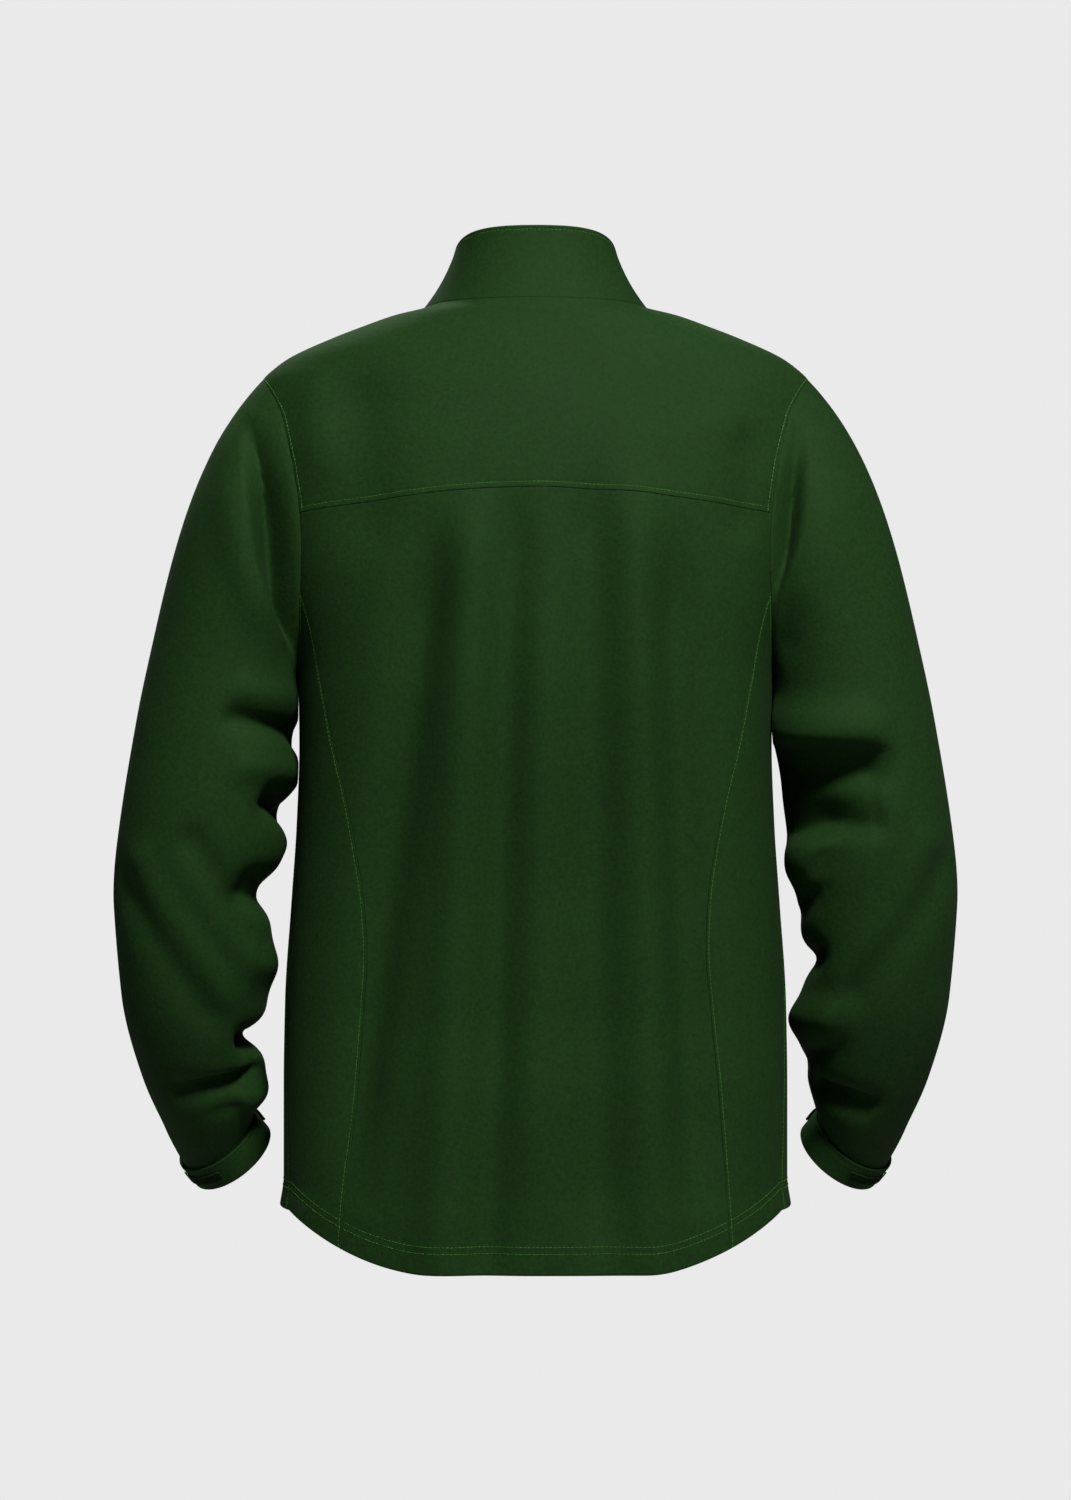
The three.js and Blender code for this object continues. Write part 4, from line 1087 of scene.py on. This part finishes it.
# %% The cuffs, straps and looped patches
around = np.arange(0, 360, 3.0)
cuff_downs = stops(CUFF["height"], pitch=1.6) * CUFF["height"]
cuff_grid = np.stack(np.meshgrid(around, cuff_downs), -1)
CUFF_PIECES = {
    "cuff": {
        "grid": cuff_grid, "surface": cuff_point, "hem": band_edges(CUFF["thick"]),
        "thick": CUFF["thick"], "closed": True,
    },
    "cuff_strap": lying_on_cuff(STRAP, soft_end=4.0),
    "loop_patch": {**lying_on_cuff(LOOP, soft_end=2.5), "finish": loop_pile, "slot": "loop_tape"},
}
for hand, flip in HANDS:
    for part, shape in CUFF_PIECES.items():
        panel(f"{part}_{hand}", sewn_edges={}, steps=(1, 1), flip=flip, **shape)

# %% [markdown]
# ## The bundled seams and the topstitching
# A soft roll fills each seam where two walls meet at an angle. Every row of topstitching is made of
# short separate stitches, each a small closed strand whose ends sink into the cloth. They follow the
# dips already pressed into the panels.

# %% Solids lofted through rings of points
def lofts(name, loops):
    """Many closed solids in one mesh, each lofted through its rings of points, with flat ends."""
    count, rings, sides = loops.shape[:3]
    ring, side = np.meshgrid(np.arange(rings - 1), np.arange(sides), indexing="ij")
    after = (side + 1) % sides
    upper, lower = ring * sides, (ring + 1) * sides
    walls = np.stack([upper + side, upper + after, lower + after, lower + side], -1)
    ends = np.array([np.arange(sides)[::-1], (rings - 1) * sides + np.arange(sides)])
    shift = (np.arange(count) * rings * sides)[:, None, None]
    faces = (walls.reshape(1, -1, 4) + shift).reshape(-1, 4).tolist()
    faces += (ends[None] + shift).reshape(-1, sides).tolist()
    mesh = bpy.data.meshes.new(name)
    mesh.from_pydata((loops.reshape(-1, 3) * MM).tolist(), [], faces)
    turned = bmesh.new()
    turned.from_mesh(mesh)
    bmesh.ops.recalc_face_normals(turned, faces=turned.faces)
    turned.to_mesh(mesh)
    turned.free()
    return shown(mesh, sharp=40)


# %% The sewn-together edges behind the armholes, the neck and the cuffs
# Two walls that meet at an angle leave a slit between them. The allowances bundled behind fill it.
BUNDLE = {"radius": 1.35, "under": 1.55, "sides": 8, "points": 260}


def seam_bundle(name, path, out):
    """A soft roll along a seam, just under the cloth."""
    middle = path - out * BUNDLE["under"]
    along = unit(np.gradient(middle, axis=0))
    side = unit(np.cross(along, out))
    up = np.cross(side, along)
    angle = np.arange(BUNDLE["sides"]) * 2 * np.pi / BUNDLE["sides"]
    ring = up[:, None] * np.cos(angle)[:, None] + side[:, None] * np.sin(angle)[:, None]
    lofts(name, (middle[:, None] + BUNDLE["radius"] * ring)[None])
    finished(name, softshell)


ways = np.linspace(0, 361, BUNDLE["points"])
places = armhole(ways % 360)
round_seam = trunk(places[:, 0], places[:, 1])
from_trunk = outward(trunk, places[:, 0], places[:, 1])
for hand, flip in HANDS:
    shift = np.array([-1 if flip else 1, 1, 1])
    from_sleeve = outward(SLEEVE_OF[hand], ways, np.full_like(ways, -0.99), 1, 0.005)
    seam_bundle(f"armhole_seam_{hand}", round_seam * shift, unit(from_trunk + from_sleeve) * shift)
turns = np.linspace(collar_edge - 0.5, 0.5 - collar_edge, BUNDLE["points"])
from_collar = outward(collar_point, turns, np.full_like(turns, 0.03), 1, 0.02)
neck_out = unit(outward(trunk, turns, neck_seam(turns)) + from_collar)
seam_bundle("neck_seam_roll", plain_trunk(turns, neck_seam(turns)), neck_out)
for hand, flip in HANDS:
    shift = np.array([-1 if flip else 1, 1, 1])
    sleeve_end = SLEEVE_OF[hand](ways, np.full_like(ways, 8.0))
    from_end = outward(SLEEVE_OF[hand], ways, np.full_like(ways, 7.9), 1, 0.02)
    seam_bundle(f"cuff_seam_{hand}", sleeve_end * shift, from_end * shift)

# %% The stitches
STITCH = {"long": 2.7, "pitch": 3.2, "radius": 0.2, "sides": 5}


def stitches(path, out):
    """The rings of every stitch along a path."""
    run = run_along(path)
    count = int((run[-1] - 1) // STITCH["pitch"])
    starts = (run[-1] - count * STITCH["pitch"]) / 2 + np.arange(count) * STITCH["pitch"]
    at = starts[:, None] + np.array([0, 0.4, STITCH["long"] - 0.4, STITCH["long"]])
    middle, up = (np.stack([np.interp(at, run, line[:, k]) for k in range(3)], -1) for line in (path, out))
    up = unit(up)
    side = unit(np.cross(unit(middle[:, -1:] - middle[:, :1]), up))
    lift = np.array([-0.3, 0.14, 0.14, -0.3])[None, :, None, None]
    thick = STITCH["radius"] * np.array([0.6, 1, 1, 0.6])[None, :, None, None]
    angle = (np.arange(STITCH["sides"]) * 2 * np.pi / STITCH["sides"])[None, None, :, None]
    middle, up, side = middle[:, :, None], up[:, :, None], side[:, :, None]
    return middle + up * (lift + thick * np.cos(angle)) + side * (thick * np.sin(angle))


stitch_count = 0
for name, threads in rows_of_thread.items():
    rows = np.concatenate([stitches(path, out) for path, out in threads])
    stitch_count += len(rows)
    thread_name = name.replace("_cloth", "_thread")
    lofts(thread_name, rows)
    finished(thread_name, thread)
print("Stitches:", stitch_count)

# %% [markdown]
# ## The zip
# Two woven tapes lie behind the fronts and carry moulded teeth that interlock down the middle. The
# slider sits at the top and its pull hangs from it on a bar, turning on the frame's own hinge.

# %% The centre front
ZIP = {"half_chain": 3.3, "front": 1.2, "behind": 1.5}
TAPE = {"from": 0.3, "reach": 14, "thick": 1, "under": 2.5}
SLIDER_AT, FOOT_AT = -19, FRONT_HEM + 8
ZIP_TOP = float(collar_top(180.0)[2])


def front_surface(turn, z):
    turn, z = matched(turn, z)
    on_collar = collar_point(turn, np.maximum(0, (z - NECK_FRONT) / (ZIP_TOP - NECK_FRONT)))
    return np.where((z < NECK_FRONT)[..., None], trunk(turn, z), on_collar)


def behind_front(turn, z):
    return front_surface(turn, z) - outward(front_surface, turn, z, 0.8, 1) * TAPE["under"]


tape_heights = lerp(ZIP_TOP - 2, FRONT_HEM + 2, stops(690, pitch=4))[:, None]
tape_across = np.linspace(TAPE["from"], TAPE["reach"], 12)
tape_turns = 180 - np.degrees(np.arcsin(tape_across / -front_surface(180.0, tape_heights)[..., 1]))
tape_grid = np.stack([tape_turns, np.broadcast_to(tape_heights, tape_turns.shape)], -1)
for hand, flip in HANDS:
    panel(
        f"zip_tape_{hand}", tape_grid, {}, surface=behind_front, steps=(0.8, 1), flip=flip,
        thick=TAPE["thick"], finish=zip_tape_cloth, slot="zip_tape",
    )

# %% The teeth
TOOTH_STEP = 1.5
# One tooth's outline: across from the middle of the zip, and down.
TOOTH = (
    (3.3, -0.5), (0.9, -0.5), (0.2, -0.68), (-0.8, -0.4), (-0.8, 0.4), (0.2, 0.68), (0.9, 0.5),
    (3.3, 0.5),
)
chain_heights = np.linspace(SLIDER_AT - 6.3, FOOT_AT + 4.8, 3000)
chain_run = run_along(front_surface(180.0, chain_heights))
spots = np.arange(0.9, chain_run[-1] - 0.9, TOOTH_STEP)
heights = np.interp(spots, chain_run, chain_heights)
middle = front_surface(180.0, heights)
out = outward(front_surface, np.full_like(heights, 180.0), heights, 0.8, 1)
down = unit(np.cross(out, np.array([1.0, 0, 0])))
facing = np.where(np.arange(len(spots)) % 2, 1, -1)
rings = []
for deep, inset in ((-ZIP["behind"], 0.0), (ZIP["front"] - 0.35, 0.0), (ZIP["front"], 0.16)):
    shape = np.array(TOOTH) * (1 - inset * np.array([0.25, 1.0]))
    x = (shape[:, 0] * facing[:, None])[..., None] * np.array([1.0, 0, 0])
    rings.append(middle[:, None] + x + down[:, None] * shape[None, :, 1:] + out[:, None] * deep)
lofts("zip_teeth", np.stack(rings, 1))
finished("zip_teeth", moulded_teeth, replaces=["zip_chain"])
print("Teeth:", len(spots))


# %% Hard parts from bevelled blocks
def block(size, centre, bevel, taper=1.0):
    """A bevelled block in millimetres. taper is the width of its lower end as a share of its upper."""
    bpy.ops.object.select_all(action="DESELECT")
    bpy.ops.mesh.primitive_cube_add(size=1)
    made = bpy.context.object
    made.scale = [side * MM for side in size]
    bpy.ops.object.transform_apply(location=False, rotation=False, scale=True)
    for vertex in made.data.vertices:
        vertex.co.x *= taper if vertex.co.z < 0 else 1
        vertex.co += Vector(centre) * MM
    edge = made.modifiers.new("edge", "BEVEL")
    edge.width, edge.segments = bevel * MM, 2
    bpy.ops.object.modifier_apply(modifier="edge")
    return made


def barrel(radius, length, centre):
    """A round bar along X in millimetres."""
    bpy.ops.object.select_all(action="DESELECT")
    bpy.ops.mesh.primitive_cylinder_add(
        vertices=24, radius=radius * MM, depth=length * MM, rotation=(0, math.pi / 2, 0)
    )
    made = bpy.context.object
    bpy.ops.object.transform_apply(location=False, rotation=True, scale=True)
    for vertex in made.data.vertices:
        vertex.co += Vector(centre) * MM
    return made


def drilled(solid, bore):
    """The solid with a bore taken out of it."""
    bpy.context.view_layer.objects.active = solid
    cut = solid.modifiers.new("bore", "BOOLEAN")
    cut.operation, cut.object = "DIFFERENCE", bore
    bpy.ops.object.modifier_apply(modifier="bore")
    bpy.data.objects.remove(bore)
    return solid


def as_one(name, parts, lean, place):
    """Joins parts under a name, leans them back about X and moves them to their place in millimetres."""
    bpy.ops.object.select_all(action="DESELECT")
    for part in parts:
        part.select_set(True)
    bpy.context.view_layer.objects.active = parts[0]
    bpy.ops.object.join()
    made = bpy.context.object
    made.name = made.data.name = name
    made.location, made.rotation_euler = [v * MM for v in place], (-math.radians(lean), 0, 0)
    bpy.ops.object.transform_apply(location=True, rotation=True, scale=True)
    made.data.shade_smooth()
    made.data.set_sharp_from_angle(angle=math.radians(38))
    return made


def on_zip(z):
    return 0, float(front_surface(180.0, float(z))[1]), z


def lean_at(z):
    n = outward(front_surface, np.array(180.0), np.array(float(z)), 0.8, 1)
    return math.degrees(math.atan2(n[2], -n[1]))


# %% The slider, its pull and the foot of the zip
SLIDER = {"width": 10, "height": 12, "plate": 2.4, "gap": 0.3, "taper": 0.74}
PULL = {"reach": 3.2, "rise": 2, "width": 8, "long": 32, "thick": 2, "bar": 0.9, "tab_from": 7}
ARM = {"size": (2.3, 2, 8), "out": 2.85, "down": 3.2}
RIB = {"size": (5, 0.3, 1), "out": 1.05, "down": 21, "step": 2.6}
CORE_SIZE, LUG_SIZE, FOOT_SIZE = (6.4, 2.4, 12), (2, 5.2, 7), (6.6, 2.6, 9)
plate_back = SLIDER["gap"] + SLIDER["plate"]
slider_lean = lean_at(SLIDER_AT)
slider_place = on_zip(SLIDER_AT)
lug = block(LUG_SIZE, (0, 0.2 - plate_back - LUG_SIZE[1] / 2, PULL["rise"]), 0.7)
lug = drilled(lug, barrel(1.5, 6, (0, -plate_back - PULL["reach"], PULL["rise"])))
core = block(CORE_SIZE, (0, 0, 0), 0.3)
plate_size = (SLIDER["width"], SLIDER["plate"], SLIDER["height"])
plate_middle = (0, -SLIDER["gap"] - SLIDER["plate"] / 2, 0)
plate = block(plate_size, plate_middle, 0.8, taper=SLIDER["taper"])
as_one("slider", [core, plate, lug], slider_lean, slider_place)
finished("slider", painted_metal, replaces=["zip_slider"])

hinge_out, lean = plate_back + PULL["reach"], math.radians(slider_lean)
hinge = (
    0,
    slider_place[1] - hinge_out * math.cos(lean) + PULL["rise"] * math.sin(lean),
    SLIDER_AT + hinge_out * math.sin(lean) + PULL["rise"] * math.cos(lean),
)
rib_places = [(0, side * RIB["out"], -RIB["down"] - RIB["step"] * k) for side in (1, -1) for k in range(3)]
ribs = [block(RIB["size"], place, 0.12) for place in rib_places]
arms = [block(ARM["size"], (side * ARM["out"], 0, -ARM["down"]), 0.5) for side in (1, -1)]
tab_long = PULL["long"] - PULL["tab_from"]
tab_middle = (0, 0, -PULL["tab_from"] - tab_long / 2)
tab = block((PULL["width"], PULL["thick"], tab_long), tab_middle, 0.7, taper=0.8)
as_one("pull", [tab, barrel(PULL["bar"], 7.2, (0, 0, 0)), *arms, *ribs], 0, hinge)
finished("pull", painted_metal, body="zip_pull", replaces=["zip_pull"])
print("Pull hangs from", np.round(hinge, 3))

as_one("foot", [block(FOOT_SIZE, (0, -0.1, 0), 0.5)], lean_at(FOOT_AT), on_zip(FOOT_AT))
finished("foot", painted_metal, replaces=["zip_foot"])

# %% [markdown]
# ## What each cloth piece was cut to
# A table gives each piece the pieces it hangs from: each hangs from the piece it is sewn to, and the straps
# and patches lie on their cuffs.

# %% What each piece hangs from
HANGS_FROM = {
    "back_yoke": (), "back_panel": ("back_yoke",), "collar": ("back_yoke",),
    "front_left": ("back_yoke",), "front_right": ("back_yoke",),
    "back_side_left": ("back_panel",), "back_side_right": ("back_panel",),
}
for hand in ("left", "right"):
    HANGS_FROM[f"sleeve_{hand}"] = ("back_yoke", f"front_{hand}")
    HANGS_FROM[f"cuff_{hand}"] = (f"sleeve_{hand}",)
    HANGS_FROM[f"zip_tape_{hand}"] = (f"front_{hand}",)
    HANGS_FROM[f"cuff_strap_{hand}"] = HANGS_FROM[f"loop_patch_{hand}"] = (f"cuff_{hand}",)
